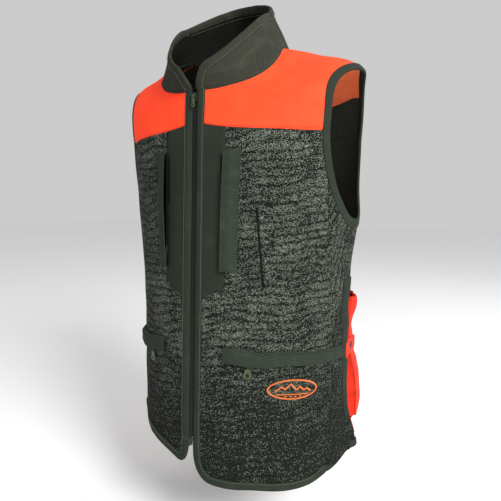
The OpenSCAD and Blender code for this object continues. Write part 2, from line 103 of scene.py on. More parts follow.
def body(t, v):
    """Points on the body surface."""
    t, v = np.broadcast_arrays(np.asarray(t, float), np.asarray(v, float))
    r = ring(v)
    s, c = np.sin(np.radians(t)), np.cos(np.radians(t))
    y = np.where(c > 0, front_y(r[..., 3]), r[..., 2])
    z = np.where(c > 0, r[..., 3], r[..., 5])
    depth = r[..., 1] + (y - r[..., 1]) * abs(c)
    return np.stack([r[..., 0] * s, depth, r[..., 4] + (z - r[..., 4]) * c * c], -1)


def unit(p):
    return p / np.maximum(np.linalg.norm(p, axis=-1, keepdims=True), 1e-12)


def tx(x, v):
    """Angle at which ring v is x from the centre."""
    return np.degrees(np.arcsin(np.clip(x / ring(v)[..., 0], -1, 1)))


def smooth(x, low=0.0, high=1.0):
    """0 up to low, 1 from high on, smooth between."""
    u = np.clip((x - low) / (high - low), 0, 1)
    return u * u * (3 - 2 * u)


def mix(a, b, u):
    return a + (b - a) * u


LATTICE = np.random.default_rng(11).uniform(-1, 1, (97, 97))


def noise(x, y):
    """Smooth noise from -1 to 1, with features one unit across."""
    xi, yi = np.floor(x).astype(int), np.floor(y).astype(int)
    u, w = smooth(x - xi), smooth(y - yi)
    at = lambda i, j: LATTICE[(xi + i) % 97, (yi + j) % 97]
    return mix(mix(at(0, 0), at(1, 0), u), mix(at(0, 1), at(1, 1), u), w)


def bump(x, centre, half):
    """1 at the centre, fading to about a third half away from it."""
    return np.exp(-(((x - centre) / half) ** 2))


def lengths(points):
    """How far along a line each of its points is."""
    return np.concatenate([[0], np.cumsum(np.linalg.norm(np.diff(points, axis=0), axis=1))])


def grid(a, b):
    return np.meshgrid(a, b, indexing="ij")


def turned_weights(a, b):
    """Weight at each grid point, from those along its rows and along its columns."""
    return np.maximum(a[:, None], b[None, :])


# ---- Soft shape of the worn cloth, in mm out from the body surface ----
DEGREE = 3.1


def ease(t, v):
    """How far the cloth stands off the body surface: broad folds, still where a zip has to run."""
    t = np.where(t > 180, t - 360, t)
    s, down, side = t * DEGREE, v * 100, abs(t)
    x = 178 * np.sin(np.radians(t))
    front = side < 90
    broad = 2.2 * noise(s / 88 + 5, down / 130 + 3) + 1.1 * noise(s / 37 + 17, down / 70)
    waves = 2.4 * np.sin(s / 19 + 1.3 * noise(s / 60, down / 90 + 9)) * smooth(v, 6.7, 8.1)
    drag = 2.0 * np.sin((side - 60) * 0.33 + v * 2.6) * bump(side, 72, 16) * bump(v, 4.7, 0.7)
    waist = 1.6 * np.sin(v * 9 + s / 60) * bump(side, 80, 24) * bump(v, 5.8, 0.9)
    chest = 1.3 * np.sin(side * 0.16 - v * 3.1 + 1) * bump(side, 34, 22) * bump(v, 2.1, 0.6)
    back = 2.2 * np.sin(s / 26 + v) * smooth(side, 100, 130) * smooth(v, 2.5, 4.0) * (1 - smooth(v, 4.9, 5.6))
    still = np.where(front, 1 - bump(x, 0, 26), 1.0)
    chest_zip = bump(abs(x), 54, 17) * smooth(v, 2.3, 2.7) * (1 - smooth(v, 4.9, 5.3))
    still = still * np.where(front, 1 - 0.85 * chest_zip, 1)
    still = still * np.where(front, 1 - 0.8 * bump(v, 6.62, 0.22), 1.0)
    still = still * smooth(v, 0.0, 0.7) * (1 - 0.6 * bump(side, 88, 34) * bump(v, 2.9, 1.25))
    # The lower corners curl out beside the vents
    flare = 14 * bump(side, 99, 9) * smooth(v, 7.2, 8.0) + 3 * bump(side, 118, 12) * smooth(v, 7.2, 8)
    return still * (broad + waves + drag + waist + chest + back) + flare


def skin(t, v, d=0.0):
    """Points d out of the cloth's own surface."""
    t, v = np.broadcast_arrays(np.asarray(t, float), np.asarray(v, float))
    dt = body(t + 0.2, v) - body(t - 0.2, v)
    dv = body(t, v + 0.02) - body(t, np.maximum(v - 0.02, 0))
    return body(t, v) + unit(np.cross(dv, dt)) * (np.asarray(d, float) + ease(t, v))[..., None]


# ---- Seams and edges on the body ----
FRONT_EDGE = 5.5
CHEST_X = 50
SIDE_SEAM_X = 171.5
SIDE_T = 88.4
SHOULDER_T = 84
COLLAR_SEAM_T = 97
ARM_T, ARM_HALF, ARM_V, ARM_UP, ARM_DOWN = 88, 29.5, 2.8, 0.83, 1.45
CORNER_T = ARM_T - ARM_HALF
SPLIT = (34, 2.6)
VENT_V = 7.3


def neck_v(t):
    """The neck seam, which dips in front of each shoulder."""
    return np.where(np.cos(np.radians(t)) > 0, 0.75 * np.sin(np.radians(2 * t)) ** 2, 0.0)


def yoke_v(t):
    """The front yoke's lower seam, which drops from the zip towards the armhole."""
    drop = 1.36 * np.sin(np.radians(np.minimum(1.45 * t, 90)))
    return 1.50 + drop - 0.09 * np.sin(np.radians(3 * np.minimum(t, 60)))


def yoke_at(x):
    """Where the front yoke's lower seam is, x from the centre."""
    v = np.full(np.shape(x), 2.3)
    for _ in range(6):
        v = yoke_v(tx(x, v))
    return v


def chest_end(x):
    """The chest panel's lower seam."""
    return 5.33 - 0.2 * np.maximum(x - 15, 0) / 35


def back_yoke_v(t):
    """The back yoke's lower seam."""
    return 2.84 - 0.44 * np.cos(np.radians(t)) ** 2


def arm_edge(p, w):
    """Place on the armhole at angle p, 0 at the front and 90 at the top; w goes across its binding."""
    c, s = np.cos(np.radians(p)), np.sin(np.radians(p))
    above = s > 0
    t = ARM_T - np.sign(c) * (ARM_HALF + 3.7 * w) * np.where(above, np.sqrt(abs(c)), abs(c))
    v = ARM_V - np.where(above, (ARM_UP + 0.16 * w) * np.sqrt(np.maximum(s, 0)), (ARM_DOWN + 0.13 * w) * s)
    return t, v


def hem_v(t, far=False):
    """The near front hangs level, rounded off at the side; the far one is worn higher, and slopes up."""
    side = np.where(t > 180, 360 - t, t)
    near = 8.02 + 0.12 * np.sin(np.radians(1.6 * side)) - 0.17 * smooth(side, 62, 96)
    other = 7.85 - 0.29 * smooth(side, 2, 46) + 0.34 * smooth(side, 52, 92)
    back = 7.93 + 0.2 * np.cos(np.radians(side)) ** 2
    return np.where(side < 90, other if far else near, back)


def hem_at(x, far=False):
    """Hem of a front at x, with the corner at the split rounded off."""
    half, power = SPLIT
    u = np.clip((x - FRONT_EDGE) / (half * (0.6 if far else 1)), 0, 1)
    corner = (1 - (1 - u) ** power) ** (1 / power)
    return mix(7.4 if far else 7.5, hem_v(tx(x, 8.05), far), corner)


def path(t, v, places):
    """The line through t and v, sampled at places from 0 to 1 of its length."""
    run = lengths(body(t, v))
    at = np.asarray(places) * run[-1]
    return np.interp(at, run, t), np.interp(at, run, v)


def places(n, first=0.0, last=0.0):
    """n steps from 0 to 1, and weights. A fine step at either end is where an edge is turned under."""
    inner = np.linspace(0, 1, n + 1)
    head = [(0, 1), (first * 0.35, 0.4), (first, 0)] if first else [(0, 0)]
    tail = [(1 - last, 0), (1 - last * 0.35, 0.4), (1, 1)] if last else [(1, 0)]
    middle = [(a, 0) for a in inner if max(first, 1e-6) * 1.5 < a < 1 - max(last, 1e-6) * 1.5]
    both = np.array(head + middle + tail)
    return both[:, 0], both[:, 1]


# ---- Meshes ----
class Shape:
    """A growing mesh. Each point keeps its place on the cloth, in mm, as its UV."""

    def __init__(self):
        self.points, self.uvs, self.quads, self.looks, self.sharp, self.count = [], [], [], [], [], 0

    def add(self, points, uvs, faces, look, sharp=False):
        """Adds points (n, 3) with faces (k, 4) that count from this call's first point."""
        points = np.asarray(points, float).reshape(-1, 3)
        faces = np.asarray(faces, int)
        self.points.append(points)
        self.uvs.append(np.asarray(uvs, float).reshape(-1, 2))
        self.quads.append(faces + self.count)
        self.looks.append(np.broadcast_to(look, (len(faces),)))
        self.sharp.append(np.broadcast_to(sharp, (len(faces),)))
        self.count += len(points)

    def build(self, name, materials, weld=0.0):
        points, quads = np.concatenate(self.points), np.concatenate(self.quads)
        mesh = bpy.data.meshes.new(name)
        faces = [q[:3].tolist() if q[2] == q[3] else q.tolist() for q in quads]
        mesh.from_pydata((points * MM).tolist(), [], faces)
        mesh.polygons.foreach_set("material_index", np.concatenate(self.looks).astype(np.int32))
        mesh.polygons.foreach_set("use_smooth", ~np.concatenate(self.sharp).astype(bool))
        corner = np.zeros(len(mesh.loops), np.int32)
        mesh.loops.foreach_get("vertex_index", corner)
        layer = mesh.uv_layers.new(name="cloth")
        layer.data.foreach_set("uv", np.concatenate(self.uvs)[corner].astype(np.float32).ravel())
        for material in materials:
            mesh.materials.append(material)
        mesh.update()
        obj = bpy.data.objects.new(name, mesh)
        bpy.context.scene.collection.objects.link(obj)
        if weld:
            bm = bmesh.new()
            bm.from_mesh(mesh)
            bmesh.ops.remove_doubles(bm, verts=bm.verts, dist=weld * MM)
            bm.to_mesh(mesh)
            bm.free()
        return obj


def grid_faces(n, m, start=0, flip=False):
    """Faces of a grid of n by m points."""
    i, j = grid(np.arange(n - 1), np.arange(m - 1))
    a = (start + i * m + j).ravel()
    faces = np.stack([a, a + m, a + m + 1, a + 1], 1)
    return faces[:, ::-1] if flip else faces


def ring_faces(n, m):
    """Faces between n rings of m points."""
    i, j = grid(np.arange(n - 1), np.arange(m))
    k = (j + 1) % m
    return np.stack([i * m + j, i * m + k, (i + 1) * m + k, (i + 1) * m + j], -1).reshape(-1, 4)


def outward(points, faces, at):
    """The faces, all turned round if the one numbered at looks inwards."""
    a, b, c = points[faces[at, :3]]
    return faces[:, ::-1] if np.dot(np.cross(b - a, c - a), a - points.mean(0)) < 0 else faces


def shell(shape, outer, inner, uv, looks=(0, 1), open_first=False, open_last=False):
    """Closed cloth between two (n, m, 3) grids of points. A first or last row may stay open, to be welded."""
    n, m = outer.shape[:2]
    mid = (n // 2, m // 2)
    across = outer[min(mid[0] + 1, n - 1), mid[1]] - outer[max(mid[0] - 1, 0), mid[1]]
    along = outer[mid[0], min(mid[1] + 1, m - 1)] - outer[mid[0], max(mid[1] - 1, 0)]
    flip = np.dot(np.cross(across, along), outer[mid] - inner[mid]) < 0
    k = n * m
    faces = [grid_faces(n, m, 0, flip), grid_faces(n, m, k, not flip)]
    rim = []
    edges = [] if open_first else [(np.arange(m), True)]
    edges += [] if open_last else [((n - 1) * m + np.arange(m), False)]
    edges += [(np.arange(n) * m, False), (np.arange(n) * m + m - 1, True)]
    for line, turn in edges:
        a, b = line[:-1], line[1:]
        quad = np.stack([a, b, b + k, a + k], 1)
        rim.append(quad[:, ::-1] if turn == (not flip) else quad)
    rim = np.concatenate(rim)
    look = np.concatenate([np.full(len(faces[0]), looks[0]), np.full(len(faces[1]), looks[1]),
                           np.full(len(rim), looks[0])])
    sharp = np.concatenate([np.zeros(len(faces[0]) + len(faces[1]), bool), np.ones(len(rim), bool)])
    shape.add(np.concatenate([outer.reshape(-1, 3), inner.reshape(-1, 3)]),
              np.concatenate([uv.reshape(-1, 2)] * 2), np.concatenate(faces + [rim]), look, sharp)


# Lengths along the rings and down the body, so that every panel's weave is at its true scale
STEPS_T, STEPS_V, LEVEL = 240, 89, 30
ARC_T, ARC_V = np.linspace(-180, 180, STEPS_T + 1), np.linspace(0, STEPS_V / 10, STEPS_V + 1)
TABLE = body(ARC_T[:, None], ARC_V[None, :])
AROUND = np.cumsum(np.linalg.norm(np.diff(TABLE, axis=0), axis=2), 0)
AROUND = np.concatenate([np.zeros((1, STEPS_V + 1)), AROUND])
AROUND -= AROUND[STEPS_T // 2]
DOWN = np.cumsum(np.linalg.norm(np.diff(TABLE, axis=1), axis=2), 1)
DOWN = np.concatenate([np.zeros((STEPS_T + 1, 1)), DOWN], 1)
# Level round the chest, so that the cloth's lines run level too
DOWN -= (DOWN[:, LEVEL] + TABLE[:, LEVEL, 2])[:, None]


def cloth_uv(t, v):
    """Lengths round and down the body, in mm."""
    t, v = np.broadcast_arrays(np.asarray(t, float), np.asarray(v, float))
    i = np.clip((t + 180) / 360 * STEPS_T, 0, STEPS_T - 0.001)
    j = np.clip(v * 10, 0, STEPS_V - 0.001)
    a, b = i.astype(int), j.astype(int)
    u, w = i - a, j - b
    # Past the centre back the lengths simply run on
    over = np.maximum(t - 180, 0) * DEGREE
    look = lambda A: mix(mix(A[a, b], A[a + 1, b], u), mix(A[a, b + 1], A[a + 1, b + 1], u), w)
    return np.stack([look(AROUND) + over, look(DOWN)], -1)


def sheet(shape, T, V, low, high, looks=(0, 1), turned=None, tuck=None, surface=skin, uv=None, **edges):
    """Cloth between two heights. turned thins it towards a sewn edge; tuck sinks it under another."""
    high = np.broadcast_to(np.asarray(high, float), T.shape)
    low = np.broadcast_to(np.asarray(low, float), T.shape)
    if turned is not None:
        high = high - turned * (high - low) * 0.8
    if tuck is not None:
        high, low = high - tuck * 0.9, low - tuck * 0.9
    uv = cloth_uv(T, V) if uv is None else uv
    shell(shape, surface(T, V, high), surface(T, V, low), uv, looks, **edges)


# Cross-section of a binding folded round an edge: place across it, and height above the body
BINDING = [(1.0, 2.1), (0.97, 2.8), (0.85, 3.3), (0.6, 3.5), (0.35, 3.4), (0.12, 3.1), (0.0, 2.6),
           (-0.07, 1.7), (-0.09, 0.7), (-0.07, -0.3), (0.0, -0.9), (0.12, -1.3), (0.35, -1.5), (0.6, -1.5),
           (0.85, -1.4), (0.97, -1.0), (1.0, -0.3)]
# The same beside the zip, where its edge stays low enough for the slider to pass over
ZIP_SIDE = [(1.0, 2.1), (0.97, 2.8), (0.85, 3.3), (0.6, 3.5), (0.35, 3.4), (0.15, 2.8), (0.05, 1.9),
            (-0.04, 1.5), (-0.09, 0.6), (-0.08, -0.3), (-0.02, -0.9), (0.12, -1.3), (0.35, -1.5), (0.6, -1.5),
            (0.85, -1.4), (0.97, -1.0), (1.0, -0.3)]


def bar(shape, edge, inside, side=1, section=BINDING, closed=False, surface=skin):
    """A binding along the line edge = (t, v), reaching across to the line inside."""
    w, d = np.array(section).T
    T = mix(edge[0][:, None], inside[0][:, None], w[None, :]) * side
    V = mix(edge[1][:, None], inside[1][:, None], w[None, :])
    points = surface(T, V, np.broadcast_to(d, T.shape))
    n, m = T.shape
    run = lengths(points[:, 4])
    turn = lengths(points[n // 2])
    uv = np.stack(np.broadcast_arrays(turn[None, :], run[:, None]), -1)
    loop = np.concatenate([np.arange(m), [0]])
    rows = np.concatenate([np.arange(n), [0]]) if closed else np.arange(n)
    a = rows[:-1, None] * m + loop[None, :-1]
    b = rows[:-1, None] * m + loop[None, 1:]
    c = rows[1:, None] * m + loop[None, 1:]
    e = rows[1:, None] * m + loop[None, :-1]
    faces = np.stack([a.ravel(), e.ravel(), c.ravel(), b.ravel()], 1)
    middle = points.mean(1)
    k = n // 2
    normal = np.cross(points[k + 1, 3] - points[k, 3], points[k, 4] - points[k, 3])
    flip = np.dot(normal, points[k, 3] - middle[k]) < 0
    sharp = np.zeros(len(faces), bool)
    if not closed:
        extra = []
        for row, turned in ((0, False), (n - 1, True)):
            for q in range(m // 2):
                quad = [row * m + q, row * m + q + 1, row * m + m - 2 - q, row * m + m - 1 - q]
                if quad[1] < quad[2]:
                    extra.append(quad[::-1] if turned else quad)
        faces = np.concatenate([faces, np.array(extra)])
        sharp = np.concatenate([sharp, np.ones(len(extra), bool)])
    shape.add(points, uv, faces[:, ::-1] if flip else faces, 0, sharp)


def tube(shape, line, radius, sides=6, look=0, ends=True):
    """A round cord along the points of line; radius may be one number or one for each point."""
    line = np.asarray(line, float)
    n = len(line)
    radius = np.broadcast_to(radius, (n,))
    ahead = unit(np.gradient(line, axis=0))
    guide = np.array([0.31, 0.17, 0.93]) if abs(ahead[0, 2]) < 0.9 else np.array([1.0, 0.2, 0.1])
    across = unit(np.cross(ahead, guide))
    up = np.cross(across, ahead)
    angle = np.arange(sides) * 2 * np.pi / sides
    rings = (line[:, None] + radius[:, None, None] * (np.cos(angle)[None, :, None] * across[:, None]
                                                      + np.sin(angle)[None, :, None] * up[:, None]))
    run = lengths(line)
    uv = np.stack(np.broadcast_arrays(run[:, None], (angle * radius.mean())[None, :]), -1)
    faces = ring_faces(n, sides)
    points, uvs = rings.reshape(-1, 3), uv.reshape(-1, 2)
    if ends:
        points = np.concatenate([points, line[[0, -1]]])
        uvs = np.concatenate([uvs, [[0, 0], [run[-1], 0]]])
        j = np.arange(sides)
        k = (j + 1) % sides
        first = np.stack([np.full(sides, n * sides), k, j, j], 1)
        last = np.stack([np.full(sides, n * sides + 1), (n - 1) * sides + j, (n - 1) * sides + k,
                         (n - 1) * sides + k], 1)
        faces = np.concatenate([faces, first, last])
    shape.add(points, uvs, faces, look)


def stitches(shape, line, look=0, pitch=3.4, length=2.3, radius=0.32):
    """Sewing thread along the points of line: short stitches that rise out of the cloth and dip back in."""
    line = np.asarray(line, float)
    run = lengths(line)
    at = lambda s: np.stack([np.interp(s, run, line[:, k]) for k in range(3)], -1)
    for start in np.arange(pitch / 2, run[-1] - length, pitch):
        s = start + length * np.array([0, 0.2, 0.5, 0.8, 1])
        tube(shape, at(s), radius * np.array([0.35, 0.9, 1, 0.9, 0.35]), 5, look, ends=False)


def prism(shape, outline, low, high, place, look=0, bevel=0.25, hole=None):
    """A plate with rounded edges: outline (n, 2), from low to high across it, put down by place."""
    outline = np.asarray(outline, float)
    ahead = np.roll(outline, -1, 0) - outline
    behind = outline - np.roll(outline, 1, 0)
    tangent = unit(unit(ahead) + unit(behind))
    normal = np.stack([tangent[:, 1], -tangent[:, 0]], 1)
    after = np.roll(outline, -1, 0)
    area = np.sum(outline[:, 0] * after[:, 1] - after[:, 0] * outline[:, 1])
    normal = normal * np.sign(area)
    steps = [(bevel, low), (bevel * 0.3, low + bevel * 0.3), (0, low + bevel), (0, high - bevel),
             (bevel * 0.3, high - bevel * 0.3), (bevel, high)]
    loops = [np.column_stack([outline - normal * inset, np.full(len(outline), h)]) for inset, h in steps]
    n = len(outline)
    if hole is None:
        centre = outline.mean(0)
        loops = [np.column_stack([np.tile(centre, (n, 1)), np.full(n, low)])] + loops
        loops += [np.column_stack([np.tile(centre, (n, 1)), np.full(n, high)])]
        closed = False
    else:
        cx, cy, r = hole
        angle = np.arctan2(outline[:, 1] - cy, outline[:, 0] - cx)
        around = np.stack([np.cos(angle), np.sin(angle)], 1)
        rim = lambda grow, h: np.column_stack([(cx, cy) + (r + grow) * around, np.full(n, h)])
        b = bevel * 0.8
        loops = loops + [rim(b, high), rim(b * 0.3, high - b * 0.3), rim(0, high - b), rim(0, low + b),
                         rim(b * 0.3, low + b * 0.3), rim(b, low)]
        closed = True
    rows = len(loops)
    points = place(np.concatenate(loops))
    i, j = grid(np.arange(rows if closed else rows - 1), np.arange(n))
    a, b_, k = i * n, ((i + 1) % rows) * n, (j + 1) % n
    faces = np.stack([a + j, b_ + j, b_ + k, a + k], -1).reshape(-1, 4)
    uv = np.concatenate([loop[:, :2] for loop in loops])
    shape.add(points, uv, outward(points, faces, n * 2), look)


def rounded(w, h, r, cx=0.0, cy=0.0, n=6):
    """Outline of a w by h rectangle about (cx, cy), with corners of radius r."""
    out = []
    for k, (sx, sy) in enumerate(((1, 1), (-1, 1), (-1, -1), (1, -1))):
        for a in np.radians(np.linspace(90 * k, 90 * k + 90, n)):
            out.append((cx + sx * (w / 2 - r) + r * math.cos(a), cy + sy * (h / 2 - r) + r * math.sin(a)))
    return out


# ---- Materials ----
def rgb(red, green, blue):
    """Linear colour of one given in 0 to 255."""
    shares = (red / 255, green / 255, blue / 255)
    linear = [c / 12.92 if c <= 0.04 else ((c + 0.055) / 1.055) ** 2.4 for c in shares]
    return (*linear, 1)


# Scale at which the wave texture repeats once in each unit
WAVE_UNIT = 0.31416


class Look:
    """A node material, with short calls for its nodes."""

    def __init__(self, name, roughness=0.8, sheen=0.0, metallic=0.0, specular=0.3):
        self.material = bpy.data.materials.new(name)
        self.material.use_nodes = True
        self.nodes, self.links = self.material.node_tree.nodes, self.material.node_tree.links
        self.shader = self.nodes["Principled BSDF"]
        self.shader.inputs["Roughness"].default_value = roughness
        self.shader.inputs["Sheen Weight"].default_value = sheen
        self.shader.inputs["Sheen Roughness"].default_value = 0.5
        self.shader.inputs["Metallic"].default_value = metallic
        self.shader.inputs["Specular IOR Level"].default_value = specular

    def node(self, kind, values=None, **settings):
        made = self.nodes.new("ShaderNode" + kind)
        for key, value in settings.items():
            setattr(made, key, value)
        for key, value in (values or {}).items():
            if isinstance(value, bpy.types.NodeSocket):
                self.links.new(value, made.inputs[key])
            else:
                made.inputs[key].default_value = value
        return made

    def math(self, operation, a, b=0.0, c=0.0):
        return self.node("Math", {0: a, 1: b, 2: c}, operation=operation).outputs[0]

    def mix(self, factor, a, b):
        return self.node("Mix", {0: factor, 6: a, 7: b}, data_type="RGBA").outputs[2]

    def ramp(self, value, low, high):
        """0 below low, 1 above high, smooth between."""
        return self.node("MapRange", {0: value, 1: low, 2: high, 3: 0.0, 4: 1.0},
                         interpolation_type="SMOOTHSTEP").outputs[0]

    def uv(self, across=1.0, down=1.0, turn=0.0):
        """The cloth's own millimetres, stretched and turned."""
        raw = self.node("UVMap", uv_map="cloth").outputs[0]
        angle = math.radians(turn)
        turned = self.node("VectorRotate", {0: raw, "Angle": angle}, rotation_type="Z_AXIS").outputs[0]
        return self.node("VectorMath", {0: turned, 1: (across, down, 1)}, operation="MULTIPLY").outputs[0]

    def noise(self, vector, scale, detail=2.0, rough=0.5):
        return self.node("TexNoise", {"Vector": vector, "Scale": scale, "Detail": detail, "Roughness": rough},
                         noise_dimensions="2D").outputs[0]

    def wave(self, vector, period, distort=0.0):
        """Stripes one period apart, in mm, from 0 to 1."""
        return self.node("TexWave", {"Vector": vector, "Scale": WAVE_UNIT / period,
                                     "Distortion": distort}).outputs[1]

    def bump(self, height, depth):
        made = self.node("Bump", {"Height": height, "Distance": depth * MM, "Strength": 1.0})
        self.links.new(made.outputs[0], self.shader.inputs["Normal"])

    def colour(self, socket):
        self.links.new(socket, self.shader.inputs["Base Color"])

    def rough(self, socket):
        self.links.new(socket, self.shader.inputs["Roughness"])


def melange(name, speck, turn=0.0, period=12.0, low=0.0, seed=0.0):
    """Dark cloth flecked with pale thread. The flecks thin out along wandering lines one period apart."""
    look = Look(name, 0.9, specular=0.1)
    raw = look.uv(1, 1, turn)
    moved = look.node("VectorMath", {0: raw, 1: (seed, seed, 0)}, operation="ADD").outputs[0]
    drift = look.noise(moved, 1 / 70, 2.0)
    split = look.node("SeparateXYZ", {0: raw})
    down = look.math("MULTIPLY_ADD", drift, 30.0, split.outputs[1])
    wave = look.math("SINE", look.math("MULTIPLY", down, 2 * math.pi / period))
    line = look.ramp(wave, 0.1, 0.85)
    patch = look.ramp(look.noise(moved, 1 / 38, 2.0), 0.35, 0.68)
    share = look.math("MULTIPLY_ADD", patch, 0.26, 0.34 - low)
    share = look.math("MULTIPLY", share, look.math("MULTIPLY_ADD", line, -0.55, 1.0))
    # Painted shade: the flecks thin out towards the lower part of the vest, standing in for the light's
    # fall-off down the body.
    lower = look.ramp(look.node("SeparateXYZ", {0: look.uv()}).outputs[1], 400.0, 600.0)
    share = look.math("MULTIPLY", share, look.math("MULTIPLY_ADD", lower, -0.64, 1.0))
    cells = look.node("TexVoronoi", {"Vector": look.uv(1 / 1.1, 1 / 0.85, turn), "Scale": 1.0},
                      voronoi_dimensions="2D", feature="F1")
    chance = look.node("SeparateColor", {0: cells.outputs["Color"]})
    lit = look.ramp(look.math("SUBTRACT", share, chance.outputs[0]), 0.0, 0.08)
    blob = look.math("SUBTRACT", 1.0, look.ramp(cells.outputs["Distance"], 0.26, 0.52))
    fleck = look.math("MULTIPLY", look.math("MULTIPLY", lit, blob),
                      look.math("MULTIPLY_ADD", chance.outputs[1], 0.6, 0.4))
    twill = look.wave(look.uv(1, 1, 45 + turn), 1.5)
    fine = look.noise(look.uv(1, 1, 0), 0.9, 2.0)
    ground = look.mix(twill, rgb(8, 9, 7), rgb(20, 22, 18))
    ground = look.mix(look.ramp(fine, 0.35, 0.75), ground, rgb(29, 32, 27))
    look.colour(look.mix(fleck, ground, speck))
    look.rough(look.math("MULTIPLY_ADD", fine, 0.1, 0.85))
    look.bump(look.math("MULTIPLY_ADD", twill, 0.5, fleck), 0.35)
    return look.material


def ribbed(name, dark, light, period, turn, depth=0.25):
    """Close cloth with a fine rib, slightly uneven in colour and rubbed lighter in places."""
    look = Look(name, 0.85, specular=0.12)
    ribs = look.wave(look.uv(1, 1, turn), period)
    across = look.wave(look.uv(1, 1, turn + 90), period * 0.6)
    mottle = look.noise(look.uv(), 1 / 26, 4.0, 0.6)
    grain = look.noise(look.uv(), 0.8, 2.0)
    pattern = look.math("MULTIPLY_ADD", ribs, 0.6, look.math("MULTIPLY", grain, 0.4))
    base = look.mix(pattern, dark, light)
    rubbed = look.math("MULTIPLY", look.ramp(mottle, 0.45, 0.8), 0.25)
    look.colour(look.mix(rubbed, base, tuple(min(c * 1.7, 1) for c in light[:3]) + (1,)))
    look.rough(look.math("MULTIPLY_ADD", grain, 0.2, 0.75))
    look.bump(look.math("MULTIPLY_ADD", across, 0.3, ribs), depth)
    return look.material


def orange_cloth(name, colour, shade, painted_glow, period=3.6, turn=40.0, roughness=0.7, crease=0.0, depth=0.2):
    """Bright orange cloth that shines with painted light: a constant red emission keeps it red where it lies
    in shade.
    """
    look = Look(name, roughness, specular=0.12)
    ribs = look.wave(look.uv(1, 1, turn), period, distort=0.6)
    weave = look.wave(look.uv(1, 1, turn + 90), 1.1)
    mottle = look.noise(look.uv(), 1 / 30, 4.0, 0.55)
    folds = look.noise(look.uv(1, 0.45, 12), 1 / 17, 3.0, 0.6)
    tone = look.math("MULTIPLY_ADD", ribs, 0.35, look.math("MULTIPLY", mottle, 0.65))
    look.colour(look.mix(look.ramp(tone, 0.25, 0.75), shade, colour))
    look.rough(look.math("MULTIPLY_ADD", mottle, 0.2, roughness - 0.1))
    # Painted light: a constant emission that keeps the cloth red in shade, though it is no lamp.
    look.shader.inputs["Emission Color"].default_value = painted_glow
    look.shader.inputs["Emission Strength"].default_value = 1.0
    look.bump(look.math("ADD", look.math("MULTIPLY_ADD", weave, 0.3, look.math("MULTIPLY", ribs, 0.7)),
                        look.math("MULTIPLY", folds, crease)), depth)
    return look.material


def metal(name, dark, light, roughness=0.42, metallic=0.55):
    """Painted zip hardware, worn brighter and smoother where fingers rub it."""
    look = Look(name, roughness, metallic=metallic, specular=0.5)
    position = look.node("TexCoord").outputs["Object"]
    worn = look.node("TexNoise", {"Vector": position, "Scale": 420.0, "Detail": 4.0}).outputs[0]
    grain = look.node("TexNoise", {"Vector": position, "Scale": 2600.0, "Detail": 2.0}).outputs[0]
    look.colour(look.mix(look.ramp(worn, 0.42, 0.72), dark, light))
    look.rough(look.math("MULTIPLY_ADD", worn, -0.25, roughness + 0.12))
    look.bump(grain, 0.03)
    return look.material


def thread(name, colour, other):
    """Twisted sewing thread."""
    look = Look(name, 0.6, sheen=0.2)
    ply = look.wave(look.uv(1, 1, 55), 0.5)
    mottle = look.math("MULTIPLY", look.noise(look.uv(), 0.3), 0.3)
    look.colour(look.mix(look.math("MULTIPLY_ADD", ply, 0.7, mottle), colour, other))
    look.bump(ply, 0.08)
    return look.material


SPECK = rgb(160, 170, 154)
MELANGE = melange("melange_cloth", SPECK, turn=4)
MELANGE_LOW = melange("melange_side", SPECK, turn=66, period=11.0, low=0.06, seed=40.0)
# The last colour of each orange cloth is painted light, an emission that keeps it red in shade.
ORANGE = orange_cloth("orange_yoke", (0.62, 0.072, 0.022, 1), (0.60, 0.048, 0.013, 1),
                      (0.42, 0.004, 0.001, 1))
ORANGE_BACK = orange_cloth("orange_yoke_inside", (0.8, 0.22, 0.09, 1), (0.66, 0.15, 0.06, 1),
                           (0.16, 0.02, 0.006, 1))
NYLON = orange_cloth("orange_nylon", (0.62, 0.045, 0.014, 1), (0.56, 0.014, 0.004, 1), (0.14, 0.0, 0.0, 1),
                     period=1.4, turn=0, roughness=0.5, crease=3.5, depth=0.7)
GREEN = ribbed("green_cloth", rgb(26, 31, 25), rgb(42, 49, 40), 2.4, 28)
FLAP = ribbed("green_flap", rgb(30, 36, 30), rgb(50, 58, 48), 3.2, 78, depth=0.4)
COLLAR = ribbed("collar_cloth", rgb(31, 33, 27), rgb(54, 56, 47), 2.6, 35)
# Dark lining cloth; the same dark material also serves as painted shade in the radio pocket's slit.
LINING_AND_SLIT_SHADE = ribbed("dark_lining_and_slit_shade", rgb(10, 11, 9), rgb(20, 22, 18), 2.8, 50)
INSIDE = ribbed("panel_inside", rgb(40, 43, 37), rgb(62, 66, 58), 2.4, 30)
TAPE = ribbed("binding_tape", rgb(30, 36, 29), rgb(46, 54, 44), 1.6, 0, depth=0.3)
ZIP_TAPE = ribbed("zip_tape", rgb(6, 7, 6), rgb(14, 17, 13), 1.2, 90, depth=0.3)
MESH = ribbed("pocket_mesh", rgb(16, 19, 15), rgb(32, 36, 30), 1.9, 0, depth=0.5)
TOOTH = metal("zip_teeth", rgb(8, 9, 8), rgb(28, 32, 26), 0.4, 0.3)
SLIDER = metal("slider_metal", rgb(34, 40, 29), rgb(70, 80, 60), 0.4, 0.6)
OLIVE = metal("puller_olive", rgb(48, 62, 36), rgb(74, 92, 58), 0.45, 0.25)
SNAP = metal("snap_metal", rgb(9, 13, 12), rgb(26, 33, 30), 0.42, 0.2)
THREAD = thread("green_thread", rgb(70, 80, 66), rgb(112, 124, 104))
DARK_THREAD = thread("dark_thread", rgb(12, 14, 12), rgb(34, 39, 32))
ORANGE_THREAD = thread("orange_thread", rgb(150, 26, 14), rgb(200, 60, 30))
GOLD_THREAD = thread("gold_thread", rgb(205, 76, 22), rgb(235, 140, 62))

# ---- Riding on the bodies ----
SIDES = {"l": (1, "left_front"), "r": (-1, "right_front")}
WORD = {"l": "left", "r": "right"}


